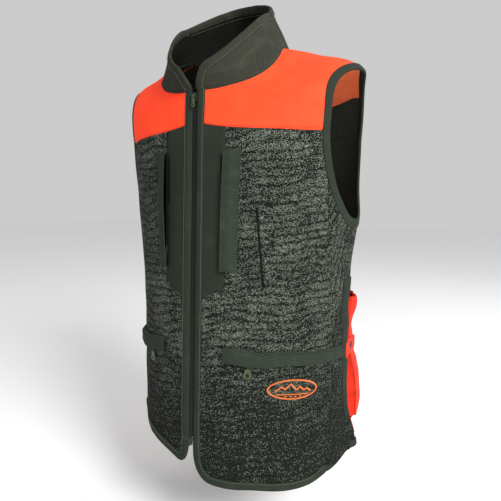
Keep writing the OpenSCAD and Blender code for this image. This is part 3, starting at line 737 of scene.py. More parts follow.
def bend(obj, front, *nodes, slot=None):
    """obj stands for the CAD nodes, which it hides, and keeps its place with its transform baked into its
    mesh; front is not used.
    """
    if nodes:
        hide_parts(*nodes)
    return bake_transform(obj)


def carry(obj, body_name, *nodes, slot=None):
    """obj stands for the CAD nodes, and rides on one body."""
    if nodes:
        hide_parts(*nodes)
    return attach(obj, body_name)


CLOTH = (0.0, 1.8)
NECK_FACING = (-2.9, -1.9)
BACK_FACING = (-1.0, -0.15)
# How far out thread lies on one layer of cloth
ON_CLOTH = 1.95


def both_halves(T, V, weight):
    """Rows of the left half of the back, followed by those of the right half."""
    return (np.concatenate([T, 360 - T[-2::-1]]), np.concatenate([V, V[-2::-1]]),
            np.concatenate([weight, weight[-2::-1]]))


# ---- Yokes ----
def neck_tape(shape, t, side):
    """Tape that covers the neck seam inside."""
    seam = skin(t * side, neck_v(t), 0.0)
    inward = unit(([0, -60, 0] - seam) * [1, 1, 0])
    tube(shape, seam + inward * 2.4, 2.7, 8, 2)


def front_yoke(key):
    """Orange yoke of one front, with a dark facing inside the neck."""
    side, front = SIDES[key]
    t = np.linspace(0.5, CORNER_T, 80)
    arm = arm_edge(np.linspace(0, 88.9, 400), 0)
    seam_a, seam_w = places(34, 0.0, 0.0)
    arm_a, arm_w = places(20, 0.0, 0.02)
    low_seam = path(t, yoke_v(t), seam_a)
    low_arm = path(arm[0], arm[1], arm_a)
    low_t = np.concatenate([low_seam[0], low_arm[0][1:]])
    low_v = np.concatenate([low_seam[1], low_arm[1][1:]])
    weight = np.concatenate([seam_w, arm_w[1:]])
    top_t = np.concatenate([mix(4.8, 50, seam_a), mix(50, SHOULDER_T, arm_a[1:])])
    b, wb = places(34, 0.0, 0.02)
    B = b[None, :]
    T = mix(top_t[:, None], low_t[:, None], B)
    V = mix(neck_v(top_t)[:, None], low_v[:, None], B)
    # The front edge follows the placket
    edge = tx(FRONT_EDGE, V[0])
    T[0] = edge
    pull = np.exp(-np.arange(len(T)) / 3.0)[:, None]
    T = T + (np.maximum(edge[None, :], T) - T) * pull
    W = turned_weights(weight, wb)
    shape = Shape()
    sheet(shape, T * side, V, *CLOTH, turned=W)
    # The neck's facing runs on down inside the fronts
    t, b = grid(np.linspace(3.4, SHOULDER_T, 44), np.linspace(0, 1, 8))
    sheet(shape, t * side, neck_v(t) + 0.01 + b * 0.8, *NECK_FACING, looks=(2, 2))
    neck_tape(shape, np.linspace(5, SHOULDER_T, 60), side)
    obj = shape.build(f"yoke_front_{key}", [ORANGE, ORANGE_BACK, LINING_AND_SLIT_SHADE])
    return bend(obj, front, f"front_yoke_{key}", slot="orange_cloth")


# Angle of the armhole's rear edge at the green facing behind the yoke, near enough
BACK_ARM_T = 104.0


def facing_v(t, b):
    """Down the green facing behind the back yoke's seam; b runs from its upper edge to its lower one."""
    deep = 0.39 + 0.225 * np.clip((t - BACK_ARM_T) / 21, 0, 1)
    return back_yoke_v(t) + mix(-deep, 0.03, b)


def back_yoke():
    """Orange back yoke from armhole to armhole, with its facings."""
    arm = arm_edge(np.linspace(88.9, 180, 400), 0)
    t = np.linspace(ARM_T + ARM_HALF, 180, 60)
    arm_a, arm_w = places(22, 0.02, 0.0)
    seam_a, seam_w = places(26)
    low_arm, low_seam = path(arm[0], arm[1], arm_a), path(t, back_yoke_v(t), seam_a)
    low_t = np.concatenate([low_arm[0], low_seam[0][1:]])
    low_v = np.concatenate([low_arm[1], low_seam[1][1:]])
    top_t = np.concatenate([mix(SHOULDER_T, 120, arm_a), mix(120, 180, seam_a[1:])])
    weight = np.concatenate([arm_w, seam_w[1:]])
    b, wb = places(36, 0.0, 0.02)
    T = mix(top_t[:, None], low_t[:, None], b[None, :])
    V = mix(neck_v(top_t)[:, None], low_v[:, None], b[None, :])
    T, V, weight = both_halves(T, V, weight)
    shape = Shape()
    sheet(shape, T, V, *CLOTH, turned=turned_weights(weight, wb))
    # Half-moon facing inside the neck
    t, b = grid(np.linspace(86, 274, 60), np.linspace(0, 1, 12))
    deep = 0.6 + 1.15 * np.sin(np.radians((t - 86) * 180 / 188)) ** 0.6
    sheet(shape, t, 0.01 + b * deep, *NECK_FACING, looks=(2, 2))
    neck_tape(shape, np.linspace(86, 274, 120), 1)
    # Green facing inside, over the seam with the back panel
    b = np.linspace(0, 1, 14)
    end = np.full(len(b), BACK_ARM_T)
    for _ in range(30):
        end = mix(end, np.interp(facing_v(end, b), arm[1], arm[0]), 0.5)
    T = 180 + np.linspace(-1, 1, 90)[:, None] * (180 - end - 0.35)
    sheet(shape, T, facing_v(180 - abs(T - 180), b), *BACK_FACING, looks=(3, 3))
    obj = shape.build("yoke_back", [ORANGE, ORANGE_BACK, LINING_AND_SLIT_SHADE, INSIDE])
    return carry(obj, "back", "back_yoke", slot="orange_cloth")


# ---- Panels ----
# Each panel starts a little above its seam, tucked under the piece over it
SEAM = -0.012


def upper_edge(V, wide=0.03):
    """Weight that is 1 along the first row of V and fades out below it."""
    return 1 - smooth(V - V[:, :1], 0.0, wide)


def chest_panel(key):
    """Plain green panel beside the front zip."""
    side, front = SIDES[key]
    a, wa = places(14, 0.0, 0.05)
    b, wb = places(60, 0.01, 0.01)
    A, B = grid(a, b)
    x = mix(FRONT_EDGE, CHEST_X, A)
    V = mix(yoke_at(x) + SEAM, chest_end(x), B)
    shape = Shape()
    sheet(shape, tx(x, V) * side, V, CLOTH[0], CLOTH[1] + 0.5, turned=turned_weights(wa, wb),
          tuck=upper_edge(V))
    obj = shape.build(f"chest_{key}", [GREEN, LINING_AND_SLIT_SHADE])
    return carry(obj, front, f"chest_panel_{key}", slot="green_cloth")


def front_panel(key):
    """Melange panel of one front: a narrow strip below the chest panel, welded to the wide sheet."""
    side, front = SIDES[key]
    far = key == "r"
    shape = Shape()
    x = np.array([FRONT_EDGE, 6.1, 7.2, 9, 12, 15, 19, 24, 30, 36, 43, CHEST_X])[:, None]
    b, wb = places(62, 0.012, 0.0)
    V = mix(chest_end(x) + SEAM, hem_at(x, far), b[None, :])
    T = tx(np.broadcast_to(x, V.shape), V)
    join = V[-1]
    # The column at the join stays plain, so that it welds to the wider sheet
    free = x < CHEST_X
    sheet(shape, T * side, V, *CLOTH, turned=wb * free, tuck=upper_edge(V) * free, open_last=True)
    x = np.linspace(CHEST_X, SIDE_SEAM_X, 30)
    x = np.concatenate([x[:-1], [SIDE_SEAM_X - 2.4, SIDE_SEAM_X - 0.8, SIDE_SEAM_X]])[:, None]
    edge = np.concatenate([np.zeros(29), [0, 0.4, 1]])
    a, wa = places(46, 0.02, 0.0)
    upper = mix(yoke_at(x[:, 0])[:, None] + SEAM, chest_end(CHEST_X) + SEAM, a[None, :])
    share = (join - join[0]) / (join[-1] - join[0])
    lower = mix(join[0], hem_at(x, far), share[None, 1:])
    V = np.concatenate([upper, lower], 1)
    T = tx(np.broadcast_to(x, V.shape), V)
    turned = np.concatenate([wa, np.zeros(len(share) - 1)])
    W = turned_weights(edge, turned)
    sheet(shape, T * side, V, *CLOTH, turned=W, tuck=upper_edge(V), open_first=True)
    obj = shape.build(f"panel_front_{key}", [MELANGE, INSIDE], weld=0.02)
    return bend(obj, front, f"front_panel_{key}", slot="melange_cloth")


def side_panel(key):
    """Melange panel under the arm."""
    side, front = SIDES[key]
    far = key == "r"
    p = np.linspace(0, -89.4, 200)
    arm_t, arm_v = arm_edge(p, 0)
    keep = arm_t >= tx(SIDE_SEAM_X, arm_v)
    a, wa = places(22, 0.02, 0.02)
    top_t, top_v = path(arm_t[keep], arm_v[keep], a)
    b, wb = places(88)
    low_t = mix(tx(SIDE_SEAM_X, 8.1), SIDE_T, a)
    V = mix(top_v[:, None], hem_v(low_t, far)[:, None], b[None, :])
    left = tx(SIDE_SEAM_X - 0.6, V)
    share = np.clip((top_t - left[:, 0]) / (SIDE_T - left[:, 0]), 0, 1)
    T = mix(left, SIDE_T, mix(share[:, None], a[:, None], smooth(b, 0.0, 0.5)[None, :]))
    T[0] = tx(SIDE_SEAM_X - 0.6, V[0])
    shape = Shape()
    under = np.broadcast_to(1 - smooth(a, 0.0, 0.12)[:, None], T.shape)
    sheet(shape, T * side, V, *CLOTH, turned=turned_weights(wa, wb), tuck=under)
    obj = shape.build(f"panel_side_{key}", [MELANGE_LOW, INSIDE])
    return bend(obj, front, f"side_panel_{key}", slot="melange_cloth")


def back_panel():
    """Melange back, from the yoke to the hem."""
    arm_t, arm_v = arm_edge(np.linspace(-89.4, -180, 200), 0)
    t = np.linspace(ARM_T + ARM_HALF, 180, 50)
    arm_a, arm_w = places(16, 0.02, 0.0)
    seam_a, seam_w = places(26)
    top_arm, top_seam = path(arm_t, arm_v, arm_a), path(t, back_yoke_v(t) + SEAM, seam_a)
    top_t = np.concatenate([top_arm[0], top_seam[0][1:]])
    top_v = np.concatenate([top_arm[1], top_seam[1][1:]])
    weight = np.concatenate([arm_w, seam_w[1:]])
    low_t = np.concatenate([mix(SIDE_T, 112, arm_a), mix(112, 180, seam_a[1:])])
    b, wb = places(84, 0.012, 0.0)
    T = mix(top_t[:, None], low_t[:, None], smooth(b, 0, 0.6)[None, :])
    V = mix(top_v[:, None], hem_v(low_t)[:, None], b[None, :])
    T, V, weight = both_halves(T, V, weight)
    shape = Shape()
    below_yoke = np.concatenate([top_t, top_t[-2::-1]]) > ARM_T + ARM_HALF
    under = upper_edge(V) * below_yoke[:, None]
    sheet(shape, T, V, *CLOTH, turned=turned_weights(weight, wb), tuck=under)
    return carry(shape.build("panel_back", [MELANGE, INSIDE]), "back", "back_panel", slot="melange_cloth")


# ---- Collar ----
COLLAR_HALF, COLLAR_FRONT, COLLAR_BACK, COLLAR_MID = 71, -168, -7, -74
COLLAR_Z = (-60, 27, 71)
SPLAY = -6
COLLAR_CORNER, CORNER_DROP = 24, 1.15


def collar_top(t):
    """The collar's upper edge, which leans forward."""
    s = np.radians(np.where(t < 90, t + SPLAY * (1 - t / 90), t))
    c = np.cos(s)
    y = np.where(c > 0, COLLAR_FRONT, COLLAR_BACK)
    z = np.where(c > 0, COLLAR_Z[0], COLLAR_Z[2])
    return np.stack([COLLAR_HALF * np.sin(s), COLLAR_MID + (y - COLLAR_MID) * abs(c),
                     COLLAR_Z[1] + (z - COLLAR_Z[1]) * abs(c) ** np.where(c > 0, 1.3, 1.1)], -1)


def collar_mid(t, h):
    """Collar surface, straight from the neck seam to the upper edge."""
    return mix(body(t, neck_v(t)), collar_top(t), np.asarray(h)[..., None])


def collar_skin(t, h, d=0.0):
    """Collar point at angle t and height share h, d out of it, on either side of the vest."""
    t, h = np.broadcast_arrays(np.asarray(t, float), np.asarray(h, float))
    turned = np.where(t > 180, t - 360, t)
    s, sign = abs(turned), np.where(turned < 0, -1.0, 1.0)
    dt = collar_mid(s + 0.2, h) - collar_mid(s - 0.2, h)
    dh = collar_mid(s, h + 0.02) - collar_mid(s, h - 0.02)
    dent = -2.6 * bump(s, 62, 13) * bump(h, 0.45, 0.3) + 1.6 * bump(s, 84, 8) * bump(h, 0.35, 0.35)
    dent = dent + 0.9 * noise(turned / 9 + 4, h * 2.2) * smooth(h, 0.1, 0.4)
    p = collar_mid(s, h) + unit(np.cross(dt, dh)) * (np.asarray(d, float) + dent)[..., None]
    return p * np.stack([sign, np.ones_like(sign), np.ones_like(sign)], -1)


def collar_h(t):
    """Share of the collar's height that is left at its rounded front corners."""
    side = np.where(t > 180, 360 - t, t)
    return 1 - CORNER_DROP * np.maximum(1 - side / COLLAR_CORNER, 0) ** 2


def collar_uv(T, H):
    return np.stack([T * 1.6, H * 75], -1)


COLLAR_CLOTH = (0.3, 2.4)
# Cross-section of the collar's edge band
BAND = [(w, d + 0.4 if d > 0 else d + 0.3) for w, d in BINDING]


def collar_edge():
    """The collar's free edge on one side, from the neck up the front and along the top, as t and h."""
    front = 3.4
    along = np.linspace(front, COLLAR_SEAM_T, 90)
    t = np.concatenate([np.full(14, front), along])
    h = np.concatenate([np.linspace(-0.04, collar_h(front) - 0.06, 14), collar_h(along)])
    for _ in range(3):
        h[1:-1] = (h[:-2] + 2 * h[1:-1] + h[2:]) / 4
        t[1:-1] = (t[:-2] + 2 * t[1:-1] + t[2:]) / 4
    return t, h


def collar_inset(t, h, wide):
    """The line that runs wide mm inside the collar's edge."""
    p = collar_mid(t, h)
    run = unit(np.gradient(p, axis=0))
    dt = collar_mid(t + 0.2, h) - collar_mid(t - 0.2, h)
    dh = collar_mid(t, h + 0.02) - collar_mid(t, h - 0.02)
    inward = np.cross(run, unit(np.cross(dt, dh)))
    inward = inward * np.sign(-inward[len(t) // 2, 2])
    # Steps in t and h that give the step in space
    nt, nh = dt / 0.4, dh / 0.04
    a, b, c = (nt * nt).sum(1), (nt * nh).sum(1), (nh * nh).sum(1)
    p1, p2 = (inward * nt).sum(1) * wide, (inward * nh).sum(1) * wide
    det = a * c - b * b
    return t + (p1 * c - p2 * b) / det, h + (a * p2 - b * p1) / det


def collar_front(key):
    """Cloth of the collar's front half on one side."""
    side, front = SIDES[key]
    a, wa = places(46, 0.0, 0.015)
    t = mix(4.2, COLLAR_SEAM_T, a)
    b, wb = places(16, 0.06, 0.0)
    T = np.broadcast_to(t[:, None], (len(t), len(b))).copy()
    H = b[None, :] * (collar_h(t) - 0.02)[:, None] - 0.03
    shape = Shape()
    W = turned_weights(wa, wb)
    sheet(shape, T * side, H, *COLLAR_CLOTH, turned=W * 0.7, surface=collar_skin,
          uv=collar_uv(T * side, H))
    obj = shape.build(f"collar_front_{key}_cloth", [COLLAR, LINING_AND_SLIT_SHADE])
    return bend(obj, front, f"collar_front_{key}", slot="collar_cloth")


def collar_back():
    """Cloth of the collar behind the shoulders."""
    a, wa = places(60, 0.012, 0.012)
    t = mix(COLLAR_SEAM_T, 360 - COLLAR_SEAM_T, a)
    b, wb = places(16, 0.06, 0.0)
    T, H = grid(t, b * 0.98 - 0.03)
    shape = Shape()
    W = turned_weights(wa, wb)
    sheet(shape, T, H, *COLLAR_CLOTH, turned=W * 0.7, surface=collar_skin, uv=collar_uv(T, H))
    obj = shape.build("collar_back_cloth", [COLLAR, LINING_AND_SLIT_SHADE])
    return carry(obj, "back", "collar_back", slot="collar_cloth")


def collar_bands():
    """Band and stitches along the collar's free edge."""
    t, h = collar_edge()
    inner = collar_inset(t, h, 10)
    seam = collar_inset(t, h, 9)
    for key, (side, front) in SIDES.items():
        shape = Shape()
        bar(shape, (t, h), inner, side, BAND, surface=collar_skin)
        stitches(shape, collar_skin(seam[0] * side, seam[1], 4.5), 1)
        bend(shape.build(f"collar_band_{key}", [COLLAR, THREAD]), front, slot="collar_cloth")
    shape = Shape()
    t = np.linspace(COLLAR_SEAM_T, 360 - COLLAR_SEAM_T, 90)
    bar(shape, (t, np.ones(90)), (t, np.full(90, 0.87)), 1, BAND, surface=collar_skin)
    stitches(shape, collar_skin(t, np.full(90, 0.882), 4.5), 1)
    stitches(shape, collar_skin(t, np.full(90, 0.84), -0.4), 1)
    carry(shape.build("collar_band_back", [COLLAR, THREAD]), "back", slot="collar_cloth")


# ---- Bindings ----
def armhole_binding(key):
    """Binding all round one armhole."""
    side, front = SIDES[key]
    p = np.concatenate([np.linspace(0, 1, 40) ** 2 * 45, 90 - np.linspace(1, 0, 40)[1:] ** 2 * 45])
    p = np.concatenate([p, 180 - p[-2::-1], np.linspace(180, 360, 140)[1:-1]])
    count = 170
    where = np.linspace(0, 1, count + 1)[:-1]
    closed_t, closed_v = (np.append(q, q[0]) for q in arm_edge(p, 0))
    run = lengths(body(closed_t, closed_v))
    angle = np.interp(where * run[-1], run, np.append(p, 360))
    shape = Shape()
    bar(shape, arm_edge(angle, 0.0), arm_edge(angle, 1.0), side, closed=True)
    sewn = arm_edge(angle, 0.86)
    stitches(shape, skin(np.append(sewn[0], sewn[0][0]) * side, np.append(sewn[1], sewn[1][0]), 3.55), 1)
    obj = shape.build(f"armhole_edge_{key}", [TAPE, DARK_THREAD])
    return bend(obj, front, f"armhole_binding_{key}", "armhole_bindings_back", slot="binding_tape")


def front_edge_line(inset, far):
    """The front's edge, down beside the zip, round the corner and along the hem, as t and v, inset by mm."""
    beside_zip = FRONT_EDGE - 1.0
    down = np.linspace(0.03, 7.5, 90)
    x_corner = beside_zip + 36 * (1 - np.cos(np.linspace(0, 1.35, 50)))
    v_corner = hem_at(np.maximum(x_corner + 1.0, FRONT_EDGE), far)
    x_side = np.linspace(x_corner[-1], 176.5, 90)[1:]
    v_side = hem_at(x_side + 1.0, far)
    X = np.concatenate([np.full(90, beside_zip), x_corner, x_side])
    V = np.concatenate([down, v_corner, v_side])
    flat = np.stack([X, V * 100], 1)
    run = lengths(flat)
    where = np.linspace(0, run[-1], 300)
    X, Y = np.interp(where, run, X), np.interp(where, run, V * 100)
    for _ in range(4):
        X[1:-1], Y[1:-1] = (X[:-2] + 2 * X[1:-1] + X[2:]) / 4, (Y[:-2] + 2 * Y[1:-1] + Y[2:]) / 4
    run = unit(np.gradient(np.stack([X, Y], 1), axis=0))
    X, Y = X + run[:, 1] * inset, Y - run[:, 0] * inset
    V = Y / 100
    return tx(X, V), V


def placket(key):
    """Binding down beside the zip and along the hem of one front."""
    side, front = SIDES[key]
    far = key == "r"
    edge, inner, sewn = front_edge_line(0, far), front_edge_line(12, far), front_edge_line(10.4, far)
    shape = Shape()
    bar(shape, edge, inner, side, ZIP_SIDE)
    stitches(shape, skin(sewn[0] * side, sewn[1], 3.6), 1)
    obj = shape.build(f"edge_binding_{key}", [TAPE, THREAD])
    return bend(obj, front, f"placket_{key}", f"hem_binding_{key}", slot="binding_tape")


def hem_back():
    """Binding along the back's hem."""
    t = np.linspace(SIDE_T + 0.4, 360 - SIDE_T - 0.4, 200)
    v = hem_v(t)
    shape = Shape()
    bar(shape, (t, v + 0.01), (t, v - 0.1), 1)
    stitches(shape, skin(t, v - 0.088, 3.6), 1)
    obj = shape.build("hem_back", [TAPE, DARK_THREAD])
    return carry(obj, "back", "hem_binding_back", slot="binding_tape")


def side_tape(key):
    """Plain strip down the side seam; its front edge runs back towards the hem."""
    side, front = SIDES[key]
    a, wa = places(8, 0.08, 0.08)
    b, wb = places(70, 0.01, 0.0)
    v = mix(5.12, VENT_V + 0.12, b)
    left = np.interp(v, [5.12, 5.5, 6.5, 7.5], [80.6, 81.2, 85.6, 88.4])
    T = mix(left[None, :], 97.0, a[:, None])
    V = np.broadcast_to(v[None, :], T.shape)
    shape = Shape()
    sheet(shape, T * side, V, 2.0, 3.3, looks=(0, 0), turned=turned_weights(wa, wb))
    for t_line in (left + 0.9, np.full(len(v), 96.0)):
        stitches(shape, skin(t_line * side, v, 3.35), 1)
    obj = shape.build(f"side_strip_{key}", [GREEN, DARK_THREAD])
    return bend(obj, front, "side_tapes", slot="binding_tape")


# ---- Sewing on the panels ----
def sewing(key):
    """Seams beside the yoke, chest panel and shoulder."""
    side, front = SIDES[key]
    shape = Shape()
    t = np.linspace(6.2, CORNER_T - 3, 120)
    stitches(shape, skin(t * side, yoke_v(t) - 0.035, ON_CLOTH), 0)
    for shift in (-1.6, 1.8):
        a = np.linspace(0.04, 0.93, 40)
        stitches(shape, skin((SHOULDER_T + shift) * side, a * 1.95, ON_CLOTH), 0)
    orange = shape.build(f"yoke_sewing_{key}", [ORANGE_THREAD])
    bend(orange, front, slot="orange_cloth")
    shape = Shape()
    x = np.linspace(20, CHEST_X - 1.5, 30)
    v = chest_end(x) - 0.02
    stitches(shape, skin(tx(x, v) * side, v, 2.4), 0)
    v = np.linspace(4.95, 5.08, 10)
    stitches(shape, skin(tx(CHEST_X - 1.6, v) * side, v, 2.4), 0)
    carry(shape.build(f"chest_sewing_{key}", [DARK_THREAD]), front, slot="green_cloth")


def back_sewing():
    """Two rows of stitches above the back yoke's seam."""
    shape = Shape()
    t = np.linspace(120.5, 239.5, 200)
    side = np.where(t > 180, 360 - t, t)
    for shift in (-0.03, -0.055):
        stitches(shape, skin(t, back_yoke_v(side) + shift, ON_CLOTH), 0)
    carry(shape.build("back_yoke_sewing", [ORANGE_THREAD]), "back", slot="orange_cloth")


# ---- Front zip ----
ZIP_Z = -92
CHAIN_L = 500
TILT = math.atan(FRONT_SLOPE)


def turned_by(angle, x, y):
    """x and y turned by an angle about the origin."""
    return x * math.cos(angle) - y * math.sin(angle), x * math.sin(angle) + y * math.cos(angle)


def at_front(z, local):
    """Points given across, out of the vest and up from height z on the centre front."""
    p = np.asarray(local, float)
    y, up = turned_by(-TILT, p[..., 1], p[..., 2])
    return np.stack([p[..., 0], front_y(z) + y, z + up], -1)


def flat_on(place):
    """Turns (across, up, out) of a plate into the (across, out, up) that a placing function takes."""
    def put(points):
        p = np.asarray(points, float)
        return place(np.stack([p[..., 0], -p[..., 2], p[..., 1]], -1))
    return put


def teeth(shape, place, length, side, pitch=2.5, look=0, half=2.4):
    """Moulded teeth down a zip, each a block with a narrower head over the middle."""
    for k in range(int(length / pitch)):
        z = -pitch * (k + (0.5 if side > 0 else 1.0))
        outline = np.array([(3.0, 0.8), (1.2, 0.8), (0.2, 0.55), (-0.8, 0.62), (-0.8, -0.62), (0.2, -0.55),
                            (1.2, -0.8), (3.0, -0.8)]) * (half / 2.4, 1)
        outline = outline * (side, 1) + (0, z)
        prism(shape, outline, -0.5, 1.1, place, look, 0.18)


def zip_chain(key):
    """One half of the front zip: its tape and its teeth."""
    side, front = SIDES[key]
    shape = Shape()
    v = np.linspace(0.04, 7.42, 120)
    x = np.linspace(0.15, 14, 5)[:, None]
    V = np.broadcast_to(v[None, :], (5, 120))
    T = tx(np.broadcast_to(x, V.shape), V)
    sheet(shape, T * side, V, -1.5, -0.7, looks=(0, 0))
    teeth(shape, flat_on(lambda p: at_front(ZIP_Z, p)), CHAIN_L, side, look=1)
    obj = shape.build(f"front_zip_{key}", [ZIP_TAPE, TOOTH])
    return carry(obj, front, f"zip_chain_{key}", slot="zip_tape")


def zip_ends():
    """Pin and box at the foot of the front zip."""
    place = flat_on(lambda p: at_front(ZIP_Z, p))
    shape = Shape()
    prism(shape, rounded(1.9, 11.4, 0.7, 1.6, -CHAIN_L - 6.2), -0.3, 1.2, place)
    carry(shape.build("insertion_pin", [SLIDER]), "left_front", "zip_pin", slot="slider_metal")
    shape = Shape()
    prism(shape, rounded(3.5, 13.4, 0.9, -1.95, -CHAIN_L - 7.2), -1.0, 1.6, place, 0, 0.4)
    carry(shape.build("retainer_box", [SLIDER]), "right_front", "zip_box", slot="slider_metal")


def slider_body(shape, place, w, length, front_y0, back_y0, plate=1.2):
    """Zip slider: two plates that narrow downwards, joined by a bridge at the top."""
    outline = []
    for x, z in ((-0.5, -0.5), (-0.47, -2.2), (-0.5, -4.5), (-0.42, -length + 1.6), (-0.3, -length)):
        outline.append((x * w, z))
    outline = outline + [(-x, z) for x, z in outline[::-1]]
    outline.insert(0, (-w * 0.32, 0))
    outline.append((w * 0.32, 0))
    prism(shape, outline, front_y0, front_y0 + plate, place, 0, 0.35)
    prism(shape, outline, back_y0 - plate, back_y0, place, 0, 0.35)
    prism(shape, rounded(1.6, 3.6, 0.6, 0, -2.2), back_y0 - 0.1, front_y0 + 0.1, place, 0, 0.1)


SLIDER_W = 9
PIVOT = (-5.0, -4.0)


def main_slider():
    """Slider and puller of the front zip."""
    place = flat_on(lambda p: at_front(ZIP_Z, p))
    shape = Shape()
    slider_body(shape, place, SLIDER_W, 13, 2.2, -2.0)
    for s in (-1, 1):
        arch = rounded(1.0, 4.6, 0.45, s * 2.1, PIVOT[1])
        prism(shape, arch, 3.2, 5.9, place, 0, 0.25)
    x = np.linspace(-2.4, 2.4, 9)
    tube(shape, at_front(ZIP_Z, np.stack([x, np.full(9, PIVOT[0]), np.full(9, PIVOT[1])], 1)), 0.7, 12)
    carry(shape.build("front_slider", [SLIDER]), "main_slider", "main_slider", slot="slider_metal")
    shape = Shape()
    put = flat_on(lambda p: at_front(ZIP_Z, p + np.array([0, PIVOT[0], PIVOT[1]])))
    pull_tab(shape, put, 16, 3.6, 5.6, 1.3)
    carry(shape.build("front_puller", [OLIVE]), "main_puller", "main_puller", slot="puller_olive")


def pull_tab(shape, place, length, neck, foot, eye, hub=2.5, thick=1.9):
    """Puller: a hub on the pin, then a plate that widens from neck to foot, with an eye in its foot."""
    r = foot / 2
    prism(shape, rounded(hub, 5.4, 0.8, 0, -1.7), -thick / 2, thick / 2, place, 0, 0.3)
    centre = r - length
    waist = (mix(neck, foot, 0.45) / 2 - 0.35, mix(-3.5, centre, 0.5))
    upper = [(neck / 2 - 0.9, -2.6), (neck / 2, -3.5), waist]
    arc = [(r * math.cos(a), centre + r * math.sin(a)) for a in np.linspace(0.15, -math.pi - 0.15, 21)]
    outline = upper + arc + [(-x, z) for x, z in upper[::-1]]
    prism(shape, outline, -thick / 2, thick / 2, place, 0, 0.35, hole=(0, centre, eye))


# ---- Chest pockets ----
CHEST_V = (2.62, 4.86)
CHEST_FLAP_V = (2.58, 4.92)
CHEST_TURN = 14
CHEST_TRAVEL = 130


def at_chest(side):
    """A function that places points on the chest zip, and the length of the zip."""
    top, end = (body(tx(CHEST_X, v), v) for v in CHEST_V)
    tilt = math.atan2(top[1] - end[1], top[2] - end[2])
    turn = math.radians(CHEST_TURN)

    def put(local):
        p = np.asarray(local, float)
        x, y = turned_by(turn, p[..., 0], p[..., 1])
        y, z = turned_by(-tilt, y, p[..., 2])
        return np.stack([side * (top[0] + x), top[1] + y, top[2] + z], -1)
    return put, float(np.linalg.norm(end - top))


def chest_pocket(key):
    """Chest zip, its slider with a hanging tab, and the flap over it."""
    side, front = SIDES[key]
    put, length = at_chest(side)
    place = flat_on(put)
    shape = Shape()
    prism(shape, rounded(14, length, 2, 0, -length / 2), 2.2, 2.7, place, 0, 0.2)
    moved = lambda p: put(np.asarray(p, float) + np.array([0, -3.0, 0]))
    for s in (-1, 1):
        teeth(shape, flat_on(moved), length - 2, s, 2.2, 1, 1.6)
    obj = shape.build(f"chest_zip_{key}_chain", [ZIP_TAPE, TOOTH])
    carry(obj, front, f"chest_zip_{key}", slot="zip_tape")
    shape = Shape()
    rest = -4 if key == "l" else -4 - CHEST_TRAVEL
    low = flat_on(lambda p: put(np.asarray(p, float) + np.array([0, 0, rest])))
    slider_body(shape, low, 6, 9, 4.3, 4.1, 0.9)
    prism(shape, rounded(3.0, 6, 0.8, 0, -4.5), 5.1, 5.6, low, 0, 0.2)
    prism(shape, rounded(3.2, 19, 1.4, 0, -15.5), 5.2, 6.0, low, 1, 0.25)
    obj = shape.build(f"chest_slider_{key}_body", [SLIDER, OLIVE])
    carry(obj, WORD[key] + "_chest_slider", f"chest_slider_{key}", slot="slider_metal")
    chest_flap(key)


def chest_flap(key):
    """Upright flap over the chest zip, open along its inner edge."""
    side, front = SIDES[key]
    a, wa = places(14, 0.0, 0.08)
    b, wb = places(60, 0.012, 0.012)
    V = np.broadcast_to(mix(*CHEST_FLAP_V, b)[None, :], (len(a), len(b)))
    inner = mix(48.5, 44.0, b)
    outer = mix(72.0, 66.5, b)
    x = mix(inner[None, :], outer[None, :], a[:, None])
    bow = (4.6 if key == "l" else 6.0) + (0.8 if key == "l" else 4.2) * np.sin(np.pi * b) ** 1.3
    lift = bow[None, :] * (1 - smooth(a, 0.35, 1.0))[:, None]
    lift = mix(0.9, 1, 1 - bump(b, 0, 0.02) - bump(b, 1, 0.02))[None, :] * lift
    shape = Shape()
    T = tx(x, V) * side
    W = turned_weights(wa, wb)
    sheet(shape, T, V, 2.5 + lift, 3.9 + lift, looks=(0, 1), turned=W, uv=np.stack([x * side, V * 100], -1))
    stitches(shape, skin(tx(x[-1] - 1.2, V[0]) * side, V[0], 4.2), 2)
    for row, shift in ((0, 0.018), (-1, -0.018)):
        xs = np.linspace(inner[row] + 2, outer[row] - 2, 12)
        v = np.full(12, mix(*CHEST_FLAP_V, b[row])) + shift
        up = np.interp((xs - inner[row]) / (outer[row] - inner[row]), a, lift[:, row])
        stitches(shape, skin(tx(xs, v) * side, v, 4.05 + up), 2)
    obj = shape.build(f"chest_pocket_flap_{key}", [FLAP, LINING_AND_SLIT_SHADE, DARK_THREAD])
    return carry(obj, front, f"chest_flap_{key}", slot="green_cloth")


# ---- Napoleon pocket ----
def radio_pocket():
    """Two lips of the same cloth, with a dark sheet of painted shade in the slit between them."""
    shape = Shape()
    b = np.linspace(0, 1, 60)
    v = mix(4.03, 5.17, b)
    middle = mix(91, 100, b)
    roll = np.array([(0, 1.2), (0.12, 2.3), (0.35, 3.1), (0.65, 3.2), (0.88, 2.5), (1, 1.4)])
    for s in (-1, 1):
        x = middle[None, :] + s * mix(1.15, 4.8, roll[:, 0])[:, None]
        V = np.broadcast_to(v[None, :], x.shape)
        ends = 1 - 0.7 * bump(b, 0, 0.02) - 0.7 * bump(b, 1, 0.02)
        high = roll[:, 1][:, None] * ends[None, :] * (1.25 if s > 0 else 1) + 0.2
        sheet(shape, tx(x, V), V, -0.5, high, looks=(0, 1))
    # The dark sheet down the slit is painted shade.
    x = middle[None, :] + np.array([-1.3, 0, 1.3])[:, None]
    V = np.broadcast_to(v[None, :], x.shape)
    sheet(shape, tx(x, V), V, 1.0, 1.9, looks=(1, 1))
    for row in (0, -1):
        xs = np.linspace(middle[row] - 4, middle[row] + 4, 8)
        stitches(shape, skin(tx(xs, v[row]), np.full(8, v[row]), 2.4), 2)
    obj = shape.build("radio_pocket_lips", [MELANGE, LINING_AND_SLIT_SHADE, DARK_THREAD])
    return carry(obj, "left_front", "radio_pocket_welt", slot="binding_tape")


